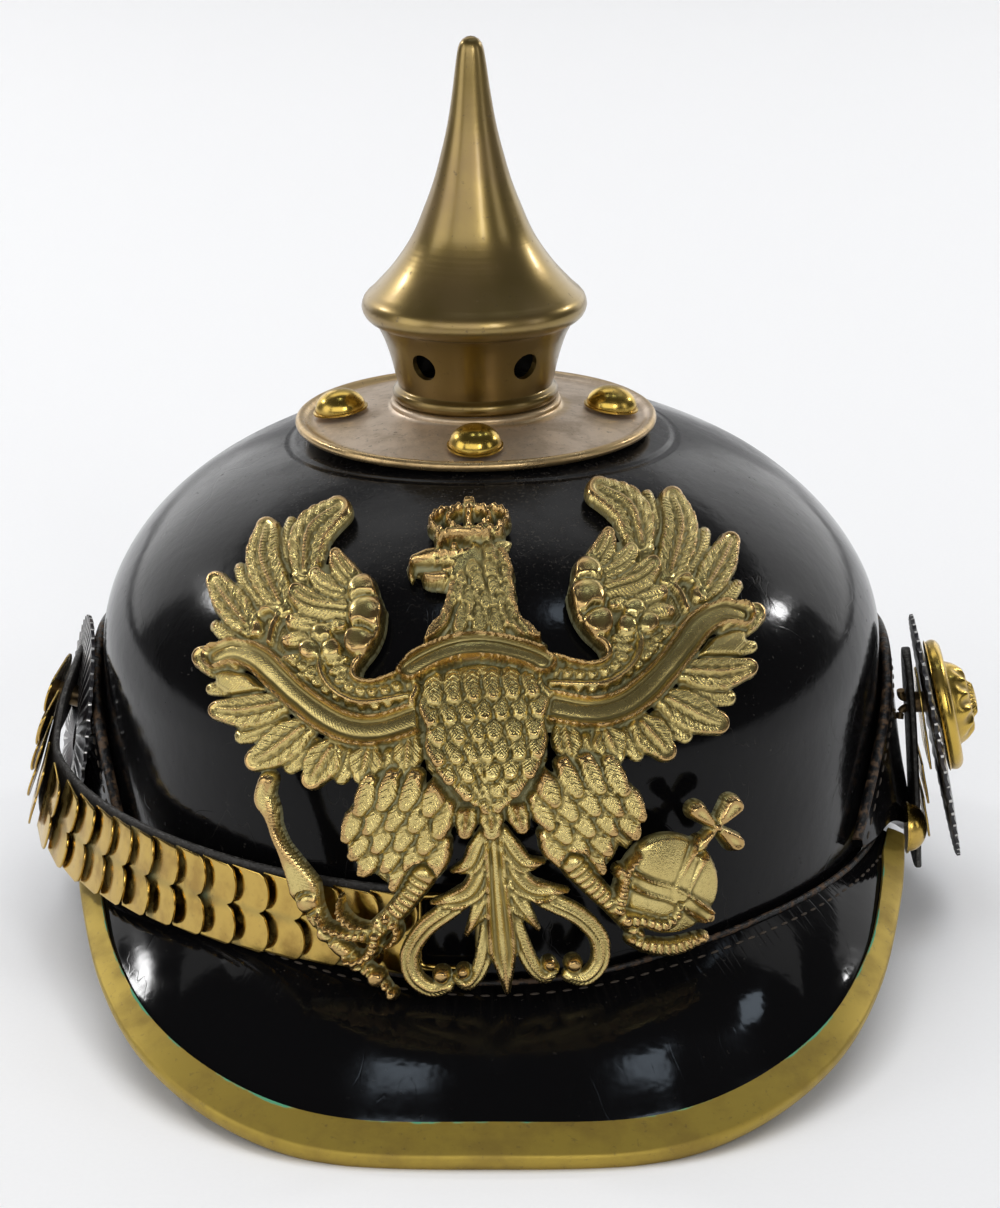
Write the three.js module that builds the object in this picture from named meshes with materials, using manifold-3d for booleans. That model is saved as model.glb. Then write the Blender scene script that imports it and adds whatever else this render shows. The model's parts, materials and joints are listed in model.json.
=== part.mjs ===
// A spiked leather helmet with a brass front plate and chin scales.
// Millimetres, +Z up. The helmet stands on the edges of its two visors and faces -Y.
import * as THREE from 'three';
import { LoftGeometry } from 'three/addons/geometries/LoftGeometry.js';
import { TessellateModifier } from 'three/addons/modifiers/TessellateModifier.js';
import { mergeVertices } from 'three/addons/utils/BufferGeometryUtils.js';
import Module from 'manifold-3d';

const wasm = await Module();
wasm.setup();

// Driving dimensions
const GAP = 0.3;
const CROWN = {
  halfWidth: 87.1, halfLength: 103, dome: 52.2, domeFoot: 65, wall: 2.2,
  vent: 12, footFront: 17, footBack: 45, sides: 28,
};
const VISOR = { thickness: 2.4, clearance: 1.1, arch: 1.2, archWidth: 40, stations: 24 };
const TRIM = { metal: 0.8, width: 8, share: 0.62, nose: 1.5, crease: 0.3, roundness: 0.45, sink: 1.3 };
const GUARD = { thickness: 2.4, hollow: 3.5, hollowFlare: 30, clearance: 0.8, stations: 32 };
const SPIKE = { offset: -2, lean: -0.7, sides: 20, tip: 200.6 };
const NECK = { wall: 1.2, holes: 5, holeRadius: 3, holeHeight: 130.6, holeDepth: 12, holeSides: 7 };
const BASE_SIDES = 28;
const DOME = { shares: [0.45, 0.8, 1], fall: 0.92, sides: 12 };
const BASE_STUD = { ring: 30, radius: 6.1, height: 4.8, lift: 117.05, slope: 8.5 };
const TRIM_STUD = { radius: 5.8, height: 3.9, side: 93, front: -19.5, level: 25 };
const STRAP = {
  thickness: 1.8, halfHeight: 8, corner: 0.6, step: 8, hole: 3.3, bore: 24, boreSides: 10,
  scalePitch: 8, bareLeft: 4, bareRight: 10,
};
const SCALE = { thickness: 0.7, length: 11.6, halfHeight: 8.8, notch: 2.2, tilt: 7.6 };
const END = { length: 14, centre: 13.6, lift: 1.2, tilt: 5, overlap: 3.4 };
const BUCKLE = { length: 15, halfHeight: 9, bar: 2, thickness: 1.6 };
const COCKADE = { radius: 28, hole: 11, rim: 0.7, crest: 1.2, sides: 24 };
const COCKADE_LEFT = { x: -95, height: 42.7, lean: 9 };
const COCKADE_RIGHT = { x: 100.6, height: 40, lean: 11.7 };
const POST = { radius: 2.4, height: 48, x: 97.4, length: 6.2, seat: 95, legs: 0.9, reach: 5, sides: 16 };
const ROSETTE = { x: 101.9, drop: 1, lean: 14, sides: 18 };
const PLATE = { lean: 20, tilt: 4.48, centreU: -0.7, centreW: 36.3, nearTop: 1.6, nearFoot: 7.8 };
const PRESS = { edge: 15, passes: 6, footUp: 20, topUp: 50, far: 200 };

const black = { color: 0x15130f, roughness: 0.35, metalness: 0 };
const LEATHER = new THREE.MeshStandardMaterial(black);
const BRASS = new THREE.MeshStandardMaterial({ color: 0xb08a3c, roughness: 0.3, metalness: 1 });
const BRONZE = new THREE.MeshStandardMaterial({ color: 0x6b5a36, roughness: 0.3, metalness: 1 });
const PAINT = new THREE.MeshStandardMaterial({ color: 0x1c1a1c, roughness: 0.45, metalness: 0.2 });

const radians = THREE.MathUtils.degToRad;
const vec = (x, y, z) => new THREE.Vector3(x, y, z);

// Closed meshes: shared corners merged, faces pointing out
function closed(geometry) {
  const shell = new THREE.BufferGeometry();
  shell.setAttribute('position', geometry.getAttribute('position').clone());
  if (geometry.index) shell.setIndex(geometry.index.clone());
  const merged = mergeVertices(shell, 1e-4);
  const place = merged.getAttribute('position');
  const corner = [vec(), vec(), vec()];
  const kept = [];
  let volume = 0;
  for (let i = 0; i < merged.index.count; i += 3) {
    const ids = [0, 1, 2].map((k) => merged.index.getX(i + k));
    if (new Set(ids).size < 3) continue;
    ids.forEach((id, k) => corner[k].fromBufferAttribute(place, id));
    volume += corner[0].dot(corner[1].clone().cross(corner[2]));
    kept.push(...ids);
  }
  if (volume < 0) kept.reverse();
  merged.setIndex(kept);
  return merged;
}

function solidOf(geometry) {
  const shell = closed(geometry);
  const vertProperties = new Float32Array(shell.getAttribute('position').array);
  const triVerts = new Uint32Array(shell.index.array);
  return new wasm.Manifold(new wasm.Mesh({ numProp: 3, vertProperties, triVerts }));
}

function geometryOf(solid) {
  const mesh = solid.getMesh();
  const geometry = new THREE.BufferGeometry();
  geometry.setAttribute('position', new THREE.BufferAttribute(new Float32Array(mesh.vertProperties), 3));
  geometry.setIndex(new THREE.BufferAttribute(new Uint32Array(mesh.triVerts), 1));
  return geometry;
}

const cut = (geometry, tool) => geometryOf(solidOf(geometry).subtract(solidOf(tool)));
const join = (parts) => geometryOf(parts.map(solidOf).reduce((whole, part) => whole.add(part)));

function piece(name, geometry, material) {
  const mesh = new THREE.Mesh(closed(geometry), material);
  mesh.name = name;
  return mesh;
}

// A turned shape about +Z; rows give the radius and the height along its outline
function turned(rows, sides) {
  const outline = rows.map((row) => new THREE.Vector2(row.radius, row.height));
  return new THREE.LatheGeometry(outline, sides).rotateX(Math.PI / 2);
}

// A row between the rows of a table, by a smooth curve through each column
function between(rows, share) {
  const place = THREE.MathUtils.clamp(share, 0, 1) * (rows.length - 1);
  const at = Math.min(Math.floor(place), rows.length - 2);
  const t = place - at;
  const result = {};
  for (const key of Object.keys(rows[0])) {
    const column = (i) => rows[THREE.MathUtils.clamp(i, 0, rows.length - 1)][key];
    const [before, start, end, after] = [at - 1, at, at + 1, at + 2].map(column);
    const bend = 2 * before - 5 * start + 4 * end - after;
    const twist = 3 * (start - end) + after - before;
    result[key] = start + 0.5 * t * (end - before + t * (bend + t * twist));
  }
  return result;
}

const mirrored = (rows, signed) => {
  const other = rows.slice(1).reverse().map((row) => {
    const flipped = { ...row };
    for (const key of signed) flipped[key] = -row[key];
    return flipped;
  });
  return [...other, ...rows];
};

// A point beside the oval wall: angle in degrees from the front towards +X
function beside(angle, out, height) {
  const turn = radians(angle);
  const x = (CROWN.halfWidth + out) * Math.sin(turn);
  return vec(x, -(CROWN.halfLength + out) * Math.cos(turn), height);
}

function crown() {
  const dome = (inset, turn) => ({
    radius: (CROWN.halfWidth - inset) * Math.sin(turn),
    height: CROWN.domeFoot + (CROWN.dome - inset) * Math.cos(turn),
  });
  const arc = (inset, steps) => {
    const first = Math.asin(CROWN.vent / (CROWN.halfWidth - inset));
    const share = (i) => first + (Math.PI / 2 - first) * (i / steps);
    return Array.from({ length: steps + 1 }, (_, i) => dome(inset, share(i)));
  };
  const outer = arc(0, 7);
  const inner = arc(CROWN.wall, 5);
  const foot = [
    { radius: CROWN.halfWidth, height: CROWN.footFront },
    { radius: CROWN.halfWidth - CROWN.wall, height: CROWN.footFront },
  ];
  const shell = turned([...outer, ...foot, ...inner.reverse(), outer[0]], CROWN.sides);
  shell.scale(1, CROWN.halfLength / CROWN.halfWidth, 1);
  const place = shell.getAttribute('position');
  for (let i = 0; i < place.count; i += 1) {
    if (place.getZ(i) > CROWN.footFront + 1) continue;
    const share = (place.getY(i) / CROWN.halfLength + 1) / 2;
    place.setZ(i, THREE.MathUtils.lerp(CROWN.footFront, CROWN.footBack, share));
  }
  return shell;
}

// Front visor, half of it: where it leaves the wall, and its outer edge
const VISOR_ROWS = [
  { angle: 0, seam: 22.3, x: 0, y: -145, edge: 0 },
  { angle: 13, seam: 23.2, x: 31, y: -142.8, edge: 0 },
  { angle: 24.5, seam: 25, x: 52, y: -132.8, edge: 2.2 },
  { angle: 37.5, seam: 26.6, x: 70, y: -112.5, edge: 6.4 },
  { angle: 50, seam: 27, x: 81.4, y: -86, edge: 11.6 },
  { angle: 65, seam: 26.6, x: 88.7, y: -52, edge: 18.3 },
  { angle: 76, seam: 26, x: 92, y: -25, edge: 22.4 },
];

// The frames across the visor: from the wall to the edge, and its upward normal
function visorFrames() {
  const rows = mirrored(VISOR_ROWS, ['angle', 'x']);
  const half = VISOR.thickness / 2 + GAP + TRIM.metal;
  const frames = Array.from({ length: VISOR.stations + 1 }, (_, i) => {
    const row = between(rows, i / VISOR.stations);
    const inner = beside(row.angle, VISOR.clearance, row.seam);
    const outer = vec(row.x, row.y, row.edge + half - TRIM.sink);
    return { inner, outer };
  });
  frames.forEach((frame, i) => {
    const last = frames[Math.max(i - 1, 0)].outer;
    const next = frames[Math.min(i + 1, frames.length - 1)].outer;
    frame.along = frame.outer.clone().sub(frame.inner).normalize();
    frame.up = next.clone().sub(last).cross(frame.along).normalize();
    if (frame.up.z < 0) frame.up.negate();
    frame.outer.addScaledVector(frame.along, -TRIM.nose);
    frame.cover = Math.min(TRIM.width, frame.inner.distanceTo(frame.outer) * TRIM.share);
  });
  return frames;
}

function sectionRow(frame, rows) {
  return rows.map(({ share, lift, ahead = 0 }) => frame.inner.clone().lerp(frame.outer, share)
    .addScaledVector(frame.along, ahead).addScaledVector(frame.up, lift));
}

const loft = (sections) => new LoftGeometry(sections, { capStart: true, capEnd: true });

function frontVisor(frames) {
  const half = VISOR.thickness / 2;
  return loft(frames.map((frame) => {
    const width = frame.inner.distanceTo(frame.outer);
    const open = 1 - (frame.cover + GAP) / width;
    const arch = VISOR.arch * Math.min(1, width / VISOR.archWidth);
    const top = [0, 0.33, 0.67, 1].map((share) => ({
      share: share * open, lift: half + arch * Math.sin(Math.PI * share),
    }));
    top.push({ share: 1, lift: half });
    const under = top.map((row) => ({ ...row, lift: row.lift - VISOR.thickness })).reverse();
    return sectionRow(frame, [...top, ...under]);
  }));
}

function belowTable() {
  const size = 400;
  return new THREE.BoxGeometry(size, size, 20).translate(0, 0, -10);
}

function frontVisorTrim(frames) {
  const slot = VISOR.thickness / 2 + GAP;
  const half = slot + TRIM.metal;
  const at = (ahead, lift) => ({ share: 1, ahead, lift });
  const folded = (cover) => [
    at(-cover, half), at(TRIM.crease, half), at(TRIM.nose, half * TRIM.roundness),
    at(TRIM.nose, -half * TRIM.roundness), at(TRIM.crease, -half), at(-cover, -half),
    at(-cover, -slot), at(GAP, -slot), at(GAP, slot), at(-cover, slot),
  ];
  return cut(loft(frames.map((frame) => sectionRow(frame, folded(frame.cover)))), belowTable());
}

// Rear visor, half of it, by the angle from the back: its sewn top, its foot and how far it flares
const GUARD_ROWS = [
  { angle: 0, top: 62, foot: -0.8, flare: 39.5 },
  { angle: 22, top: 62, foot: -0.8, flare: 37 },
  { angle: 43, top: 62.5, foot: -0.8, flare: 29.5 },
  { angle: 60, top: 64, foot: 1.5, flare: 19 },
  { angle: 74, top: 66.5, foot: 8, flare: 9 },
  { angle: 84, top: 67.5, foot: 15.5, flare: 5.4 },
  { angle: 92, top: 61, foot: 21.5, flare: 3.8 },
  { angle: 99, top: 55, foot: 28, flare: 2.6 },
  { angle: 106, top: 48.5, foot: 30, flare: 1.9 },
  { angle: 112, top: 40.5, foot: 30.6, flare: 1.1 },
  { angle: 116.5, top: 32.4, foot: 30.8, flare: 0.3 },
];

function rearVisor() {
  const rows = mirrored(GUARD_ROWS, ['angle']);
  const shares = [0, 0.3, 0.65, 1];
  const sections = Array.from({ length: GUARD.stations + 1 }, (_, i) => {
    const row = between(rows, i / GUARD.stations);
    const turn = 180 - row.angle;
    const top = beside(turn, GUARD.clearance, row.top);
    const foot = beside(turn, GUARD.clearance + row.flare, row.foot);
    const down = foot.clone().sub(top).normalize();
    const ahead = beside(turn + 1, 0, 0).sub(beside(turn - 1, 0, 0));
    const out = down.clone().cross(ahead).normalize();
    const away = beside(turn, 1, 0).sub(beside(turn, 0, 0));
    if (out.dot(away) < 0) out.negate();
    const sag = GUARD.hollow * Math.min(1, row.flare / GUARD.hollowFlare);
    const face = (share, lift) => top.clone().lerp(foot, share)
      .addScaledVector(out, lift - sag * Math.sin(Math.PI * share) * (share < 1 ? 1 : 0));
    const inner = shares.map((share) => face(share, 0));
    const outer = shares.map((share) => face(share, GUARD.thickness)).reverse();
    return [...inner, ...outer];
  });
  return cut(loft(sections), belowTable());
}

// Spike and neck outlines
const SPIKE_ROWS = [
  { radius: 0, height: SPIKE.tip },
  { radius: 1.5, height: 200.1 },
  { radius: 2.6, height: 198.6 },
  { radius: 3.25, height: 195.2 },
  { radius: 4.2, height: 188.2 },
  { radius: 5.35, height: 181.2 },
  { radius: 6.8, height: 175 },
  { radius: 8.55, height: 168.7 },
  { radius: 10.85, height: 162.5 },
  { radius: 13.6, height: 156.2 },
  { radius: 17.8, height: 149.9 },
  { radius: 23, height: 144.2 },
  { radius: 24.5, height: 142.6 },
  { radius: 24.8, height: 140.9 },
  { radius: 24.1, height: 139 },
  { radius: 22.4, height: 137.6 },
  { radius: 0, height: 137.6 },
];

const NECK_ROWS = [
  { radius: 21.9, height: 137.3 },
  { radius: 20.1, height: 134 },
  { radius: 18.6, height: 129.4 },
  { radius: 17.4, height: 124.4 },
  { radius: 17, height: 122.7 },
  { radius: 17.9, height: 122.1 },
  { radius: 18.2, height: 121 },
  { radius: 17.6, height: 119.9 },
];

function spikeNeck() {
  const [top, , middle, waist] = NECK_ROWS;
  const foot = NECK_ROWS[NECK_ROWS.length - 1];
  const inside = [
    { radius: waist.radius - NECK.wall, height: foot.height },
    { radius: middle.radius - NECK.wall, height: middle.height },
    { radius: top.radius - NECK.wall, height: top.height },
  ];
  let tube = turned([...NECK_ROWS, ...inside, top], SPIKE.sides);
  for (let i = 0; i < NECK.holes; i += 1) {
    const { holeRadius, holeDepth, holeSides } = NECK;
    const drill = new THREE.CylinderGeometry(holeRadius, holeRadius, holeDepth, holeSides);
    drill.translate(0, -middle.radius, NECK.holeHeight);
    tube = cut(tube, drill.rotateZ((i + 0.5) * (2 * Math.PI / NECK.holes)));
  }
  return tube;
}

const BASE_ROWS = [
  { radius: 15.8, height: 119.6 },
  { radius: 18.4, height: 119.6 },
  { radius: 18.7, height: 118 },
  { radius: 30, height: 116.2 },
  { radius: 37.2, height: 115.1 },
  { radius: 38.4, height: 116 },
  { radius: 40, height: 115.4 },
  { radius: 39.6, height: 113.9 },
  { radius: 37.6, height: 113.9 },
  { radius: 26, height: 115.9 },
  { radius: 15.8, height: 117 },
];

// A domed stud on +Z, flat underneath
function stud(radius, height) {
  const rows = [{ radius: 0, height }];
  for (const share of DOME.shares) {
    rows.push({ radius: radius * share, height: height * Math.sqrt(1 - DOME.fall * share * share) });
  }
  return turned([...rows, { radius, height: 0 }, { radius: 0, height: 0 }], DOME.sides);
}

// The way of a strap: rows give the angle from the front towards -X, the room to the wall,
// the height of the middle and how far the lower edge leans out
const LEFT_ROWS = [
  { angle: 97, out: 10.2, height: 51.5, lean: 10 },
  { angle: 90, out: 10.2, height: 51, lean: 10 },
  { angle: 83, out: 12, height: 46, lean: 10 },
  { angle: 76, out: 13.8, height: 39.4, lean: 11 },
  { angle: 69, out: 12.2, height: 35.4, lean: 14 },
  { angle: 61, out: 9.8, height: 34.2, lean: 14 },
  { angle: 52, out: 7.8, height: 34.4, lean: 10 },
  { angle: 42, out: 6, height: 34.8, lean: 5 },
  { angle: 32, out: 4.4, height: 34.8, lean: 1 },
  { angle: 22, out: 2.8, height: 34.6, lean: 0 },
  { angle: 10.5, out: 2.1, height: 34.6, lean: 0 },
];
const RIGHT_ROWS = [
  { x: 93.7, z: 60.5 },
  { x: 95.2, z: 44 },
  { x: 96.4, z: 27 },
  { x: 97.2, z: 11 },
];

function framesAlong(points, outAt) {
  const curve = new THREE.CatmullRomCurve3(points);
  const length = curve.getLength();
  const at = (distance) => {
    const share = THREE.MathUtils.clamp(distance / length, 0, 1);
    const ahead = curve.getTangentAt(share);
    const out = outAt(share).projectOnPlane(ahead).normalize();
    const up = out.clone().cross(ahead);
    return { at: curve.getPointAt(share), ahead, out, up };
  };
  return { length, at };
}

function leftRoute() {
  const samples = 40;
  const rows = Array.from({ length: samples + 1 }, (_, i) => between(LEFT_ROWS, i / samples));
  const points = rows.map((row) => beside(-row.angle, row.out, row.height));
  const outAt = (share) => {
    const row = rows[Math.round(share * samples)];
    const turn = radians(row.angle);
    const out = vec(-Math.sin(turn), -Math.cos(turn), 0);
    return out.multiplyScalar(Math.cos(radians(row.lean))).add(vec(0, 0, Math.sin(radians(row.lean))));
  };
  return framesAlong(points, outAt);
}

function rightRoute() {
  return framesAlong(RIGHT_ROWS.map((row) => vec(row.x, 0, row.z)), () => vec(1, 0, 0));
}

function strap(route, post) {
  const half = STRAP.thickness / 2;
  const round = STRAP.halfHeight;
  const steps = Math.round(route.length / STRAP.step);
  const distances = [0.02, 0.2, 0.55].map((share) => share * round);
  for (let i = 0; i <= steps; i += 1) distances.push(round + (route.length - round) * (i / steps));
  const sections = distances.map((distance) => {
    const frame = route.at(distance);
    const back = Math.max(0, 1 - distance / round);
    const tall = round * Math.sqrt(Math.max(1 - back * back, 0.02));
    const at = (out, up) => frame.at.clone().addScaledVector(frame.out, out).addScaledVector(frame.up, up);
    const corner = Math.min(STRAP.corner, tall * 0.4);
    const low = tall - corner;
    return [
      at(-half, low), at(-half + corner, tall), at(half - corner, tall), at(half, low),
      at(half, -low), at(half - corner, -tall), at(-half + corner, -tall), at(-half, -low),
    ];
  });
  return cut(loft(sections), boreTool(post));
}

// A round tool through the strap and what lies on it, along the post
function boreTool(post) {
  const bar = new THREE.CylinderGeometry(STRAP.hole, STRAP.hole, STRAP.bore, STRAP.boreSides);
  return bar.rotateZ(Math.PI / 2).translate(post.x, post.y, post.z);
}

// The two-lobed outline of a scale: its root at x = 0, its free edge ahead
function scaleOutline(length, half, roundRoot) {
  const lobe = half / 2;
  const shape = new THREE.Shape();
  const straight = length - lobe;
  if (roundRoot) shape.absarc(0, 0, half, Math.PI / 2, 1.5 * Math.PI, false);
  else shape.moveTo(0, half - 0.8).lineTo(0, -half + 0.8);
  shape.lineTo(straight * 0.5, -half);
  const steps = 4;
  for (const side of [-1, 1]) {
    for (let i = 0; i <= steps; i += 1) {
      const turn = Math.PI * (i / steps - 0.5);
      const reach = straight + (lobe * 0.9) * Math.cos(turn);
      const inner = Math.abs(side * lobe + lobe * Math.sin(turn)) < 0.1;
      if (inner && side > 0) continue;
      const back = inner ? straight - SCALE.notch * 0.2 : reach;
      shape.lineTo(back, side * lobe + lobe * Math.sin(turn));
    }
  }
  shape.lineTo(straight * 0.5, half);
  return shape;
}

function scalePlate(length, half, roundRoot) {
  const outline = scaleOutline(length, half, roundRoot);
  const settings = { depth: SCALE.thickness, bevelEnabled: false, curveSegments: 4 };
  return new THREE.ExtrudeGeometry(outline, settings);
}

// Lays a scale on the strap: x ahead, y up, z out, its free edge lifted
function layOn(mesh, frame, lift, tilt) {
  const rise = radians(tilt);
  const ahead = frame.ahead.clone().multiplyScalar(Math.cos(rise));
  ahead.addScaledVector(frame.out, Math.sin(rise));
  const out = ahead.clone().cross(frame.up).normalize();
  mesh.quaternion.setFromRotationMatrix(new THREE.Matrix4().makeBasis(ahead, frame.up, out));
  mesh.position.copy(frame.at).addScaledVector(frame.out, lift);
  return mesh;
}

// The first scale: a long plate with a round end, held by the post
function endPlate(route, side, post) {
  const plate = scalePlate(END.length, SCALE.halfHeight, true);
  const mesh = piece(`chin_scale_${side}_01`, plate, BRASS);
  layOn(mesh, route.at(END.centre), STRAP.thickness / 2 + END.lift, END.tilt);
  mesh.updateMatrix();
  const tool = boreTool(post).applyMatrix4(mesh.matrix.clone().invert());
  mesh.geometry = closed(cut(plate, tool));
  return mesh;
}

function scalesOn(route, side, last) {
  const lift = STRAP.thickness / 2 + GAP;
  const plate = scalePlate(SCALE.length, SCALE.halfHeight, false);
  const row = [];
  const first = END.centre + END.length - END.overlap;
  const count = Math.floor((last - first) / STRAP.scalePitch) + 1;
  for (let i = 0; i < count; i += 1) {
    const name = `chin_scale_${side}_${String(i + 2).padStart(2, '0')}`;
    const frame = route.at(first + i * STRAP.scalePitch);
    row.push(layOn(piece(name, plate, BRASS), frame, lift, SCALE.tilt));
  }
  return row;
}

// An open frame that closes the end of the strap
function buckle() {
  const outline = new THREE.Shape();
  const half = BUCKLE.halfHeight;
  outline.moveTo(0, -half).lineTo(BUCKLE.length, -half).lineTo(BUCKLE.length, half).lineTo(0, half);
  const window = new THREE.Path();
  const inner = half - BUCKLE.bar;
  const far = BUCKLE.length - BUCKLE.bar;
  window.moveTo(BUCKLE.bar, -inner).lineTo(BUCKLE.bar, inner).lineTo(far, inner).lineTo(far, -inner);
  outline.holes.push(window);
  return new THREE.ExtrudeGeometry(outline, { depth: BUCKLE.thickness, bevelEnabled: false });
}

// Cockade: a thin ring with a raised crest, its axis along +Z
function cockade() {
  const middle = (COCKADE.radius + COCKADE.hole) / 2;
  return turned([
    { radius: COCKADE.hole, height: COCKADE.rim },
    { radius: middle, height: COCKADE.crest },
    { radius: COCKADE.radius, height: COCKADE.rim / 2 },
    { radius: COCKADE.radius, height: -COCKADE.rim / 2 },
    { radius: middle, height: -COCKADE.rim },
    { radius: COCKADE.hole, height: -COCKADE.rim },
    { radius: COCKADE.hole, height: COCKADE.rim },
  ], COCKADE.sides);
}

const ROSETTE_ROWS = [
  { radius: 0, height: 9.4 },
  { radius: 3.2, height: 9 },
  { radius: 4.6, height: 8 },
  { radius: 7.6, height: 6.6 },
  { radius: 9.4, height: 4.6 },
  { radius: 10, height: 3.4 },
  { radius: 13.6, height: 3.2 },
  { radius: 14.8, height: 2.4 },
  { radius: 15, height: 1.2 },
  { radius: 14.2, height: 0.2 },
  { radius: 0, height: 0 },
];

// A tube through a few points
function wire(points, radius) {
  const path = new THREE.CatmullRomCurve3(points);
  const round = new THREE.Shape().absarc(0, 0, radius, 0, 2 * Math.PI, false);
  const settings = { steps: 4, curveSegments: 3, extrudePath: path, bevelEnabled: false };
  return new THREE.ExtrudeGeometry(round, settings);
}

// The two bent legs of the right post: where they lie, and the share of their spread that is left
const LEG_ROWS = [
  { x: 92.6, y: -1.2, spread: 1 },
  { x: 93, y: -0.8, spread: 0.5 },
  { x: 95.2, y: 0, spread: 0.2 },
];
const LEG_RISES = [3.2, -3.6];

function sidePostRight() {
  const bar = new THREE.CylinderGeometry(POST.radius, POST.radius, POST.length, STRAP.boreSides);
  bar.rotateZ(Math.PI / 2).translate(POST.x, 0, POST.height);
  const legs = LEG_RISES.map((rise) => {
    const points = LEG_ROWS.map(({ x, y, spread }) => vec(x, y, POST.height + rise * spread));
    return wire(points, POST.legs);
  });
  return join([bar, ...legs]);
}

const POST_ROWS = [
  { radius: 0, height: 11.2 },
  { radius: 4.4, height: 10.7 },
  { radius: 6.4, height: 9.6 },
  { radius: 6.4, height: 8.7 },
  { radius: POST.radius, height: 8.7 },
  { radius: POST.radius, height: 0 },
  { radius: 0, height: 0 },
];

// Front plate. Its drawing lies in a plane that leans back; u is to the right and w upward,
// both from the middle of the plate. Each shape is raised to its level and then pressed on
// to the dome.
const WING = { rootOut: 25, rootUp: 24, rootShare: 0.5 };
const LEVEL = {
  core: 1.8, shoulder: 2.8, band: 2.8, clover: 3.3, thigh: 3, shank: 2.6, toe: 2.9, leaf: 2.2,
  scroll: 2.4, body: 3.4, head: 4.2, diadem: 4.4, sceptre: 2.7, orb: 3.8, cross: 2.6, slab: 2.4, tail: 2.8,
};
const CLOVER = { out: 31.3, up: 26, radius: 2.4 };
const FEATHER_ROWS = [
  { out: 25.6, up: 53, half: 4.4, level: 2 },
  { out: 36, up: 50.4, half: 2.2, level: 1.8 },
  { out: 42.6, up: 51, half: 4.4, level: 2 },
  { out: 47.8, up: 42.8, half: 2.2, level: 1.8 },
  { out: 54.6, up: 40.2, half: 4.2, level: 2 },
  { out: 54, up: 30.2, half: 2.4, level: 1.8 },
  { out: 58, up: 24.6, half: 4.4, level: 2 },
  { out: 55.8, up: 16.5, half: 2.2, level: 1.8 },
  { out: 55, up: 9.2, half: 4.2, level: 2 },
  { out: 49.8, up: 5, half: 2, level: 1.8 },
  { out: 46.8, up: -1.9, half: 4.2, level: 2 },
  { out: 40, up: -1.8, half: 2, level: 1.8 },
  { out: 36, up: -6.6, half: 3.8, level: 2 },
  { out: 30, up: -5.6, half: 2, level: 1.8 },
  { out: 25.4, up: -6.8, half: 3.4, level: 2 },
  { out: 20.7, up: -5.4, half: 1.8, level: 1.8 },
  { out: 17, up: -5.6, half: 2.6, level: 2 },
];
const WING_CORE_ROWS = [
  { out: 18.8, up: 36 }, { out: 24, up: 43 }, { out: 34, up: 42 }, { out: 43, up: 35 },
  { out: 46, up: 25 }, { out: 43, up: 13 }, { out: 36, up: 5 }, { out: 27, up: 0.5 },
  { out: 12, up: 0.5 }, { out: 12, up: 12 }, { out: 17.5, up: 17 }, { out: 23, up: 16 },
  { out: 24.4, up: 19.7 }, { out: 20.8, up: 24.6 }, { out: 18.4, up: 30.7 },
];
const SHOULDER_ROWS = [
  { out: 24, up: 38, half: 5.4 },
  { out: 23, up: 31.5, half: 4.8 },
  { out: 25, up: 25.5, half: 4.4 },
];
const BAND_ROWS = [
  { out: 52.5, up: 25, half: 2.4 },
  { out: 46, up: 23.6, half: 2.6 },
  { out: 40.6, up: 18.8, half: 3.1 },
  { out: 35.4, up: 11.6, half: 3.1 },
  { out: 29, up: 6, half: 3.1 },
  { out: 21, up: 4, half: 3.1 },
  { out: 12, up: 5, half: 3.1 },
];
const CLOVER_ROWS = [
  { out: 31.3, up: 24, half: 1.2 },
  { out: 30.6, up: 18.5, half: 1.2 },
  { out: 28, up: 13.4, half: 1.3 },
  { out: 22.5, up: 10.9, half: 1.4 },
  { out: 15, up: 11, half: 1.5 },
];
const BODY_ROWS = [
  { out: 0, up: 30 }, { out: 8, up: 30 }, { out: 9.4, up: 25 }, { out: 14.2, up: 20.6 },
  { out: 16.5, up: 16 }, { out: 13.2, up: 8 }, { out: 12.4, up: 0 }, { out: 12.2, up: -5 },
  { out: 6.5, up: -12.3 }, { out: 0, up: -12.3 },
];
const HEAD_ROWS = [
  { u: 8.2, w: 43 }, { u: 8.3, w: 34 }, { u: 8.6, w: 29 }, { u: -7.6, w: 29 },
  { u: -6.4, w: 32.6 }, { u: -10.6, w: 34.2 }, { u: -9.6, w: 35.6 }, { u: -13.3, w: 35.6 },
  { u: -12.8, w: 40.2 }, { u: -8, w: 43 },
];
const DIADEM_ROWS = [
  { u: -6.7, w: 42.6 }, { u: -9, w: 46.8 }, { u: -6.6, w: 49 }, { u: -1.6, w: 49.4 }, { u: -1.6, w: 52 },
  { u: 1.4, w: 52 }, { u: 1.4, w: 49.4 }, { u: 6, w: 48.8 }, { u: 8.4, w: 46.6 }, { u: 6, w: 42.6 },
];
const THIGH_ROWS = [
  { out: 9, up: -9 }, { out: 13.5, up: -7.6 }, { out: 23, up: -8.6 }, { out: 30, up: -17 },
  { out: 27, up: -25 }, { out: 20, up: -29 }, { out: 15.5, up: -27.5 }, { out: 9.5, up: -21.5 },
];
const SHANK_ROWS = [
  { out: 17.5, up: -26, half: 2.6 },
  { out: 22, up: -31, half: 2.1 },
  { out: 25.4, up: -37, half: 2.2 },
  { out: 26.8, up: -41.5, half: 1.2 },
];
const TOE_ROWS = [
  [
    { out: 25, up: -36, half: 1.6 },
    { out: 29.5, up: -33.5, half: 1.5 },
    { out: 33.4, up: -29.6, half: 0.6 },
  ],
  [
    { out: 24.8, up: -36.6, half: 1.7 },
    { out: 29.8, up: -38.4, half: 1.6 },
    { out: 34, up: -39.4, half: 0.9 },
  ],
];
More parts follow.
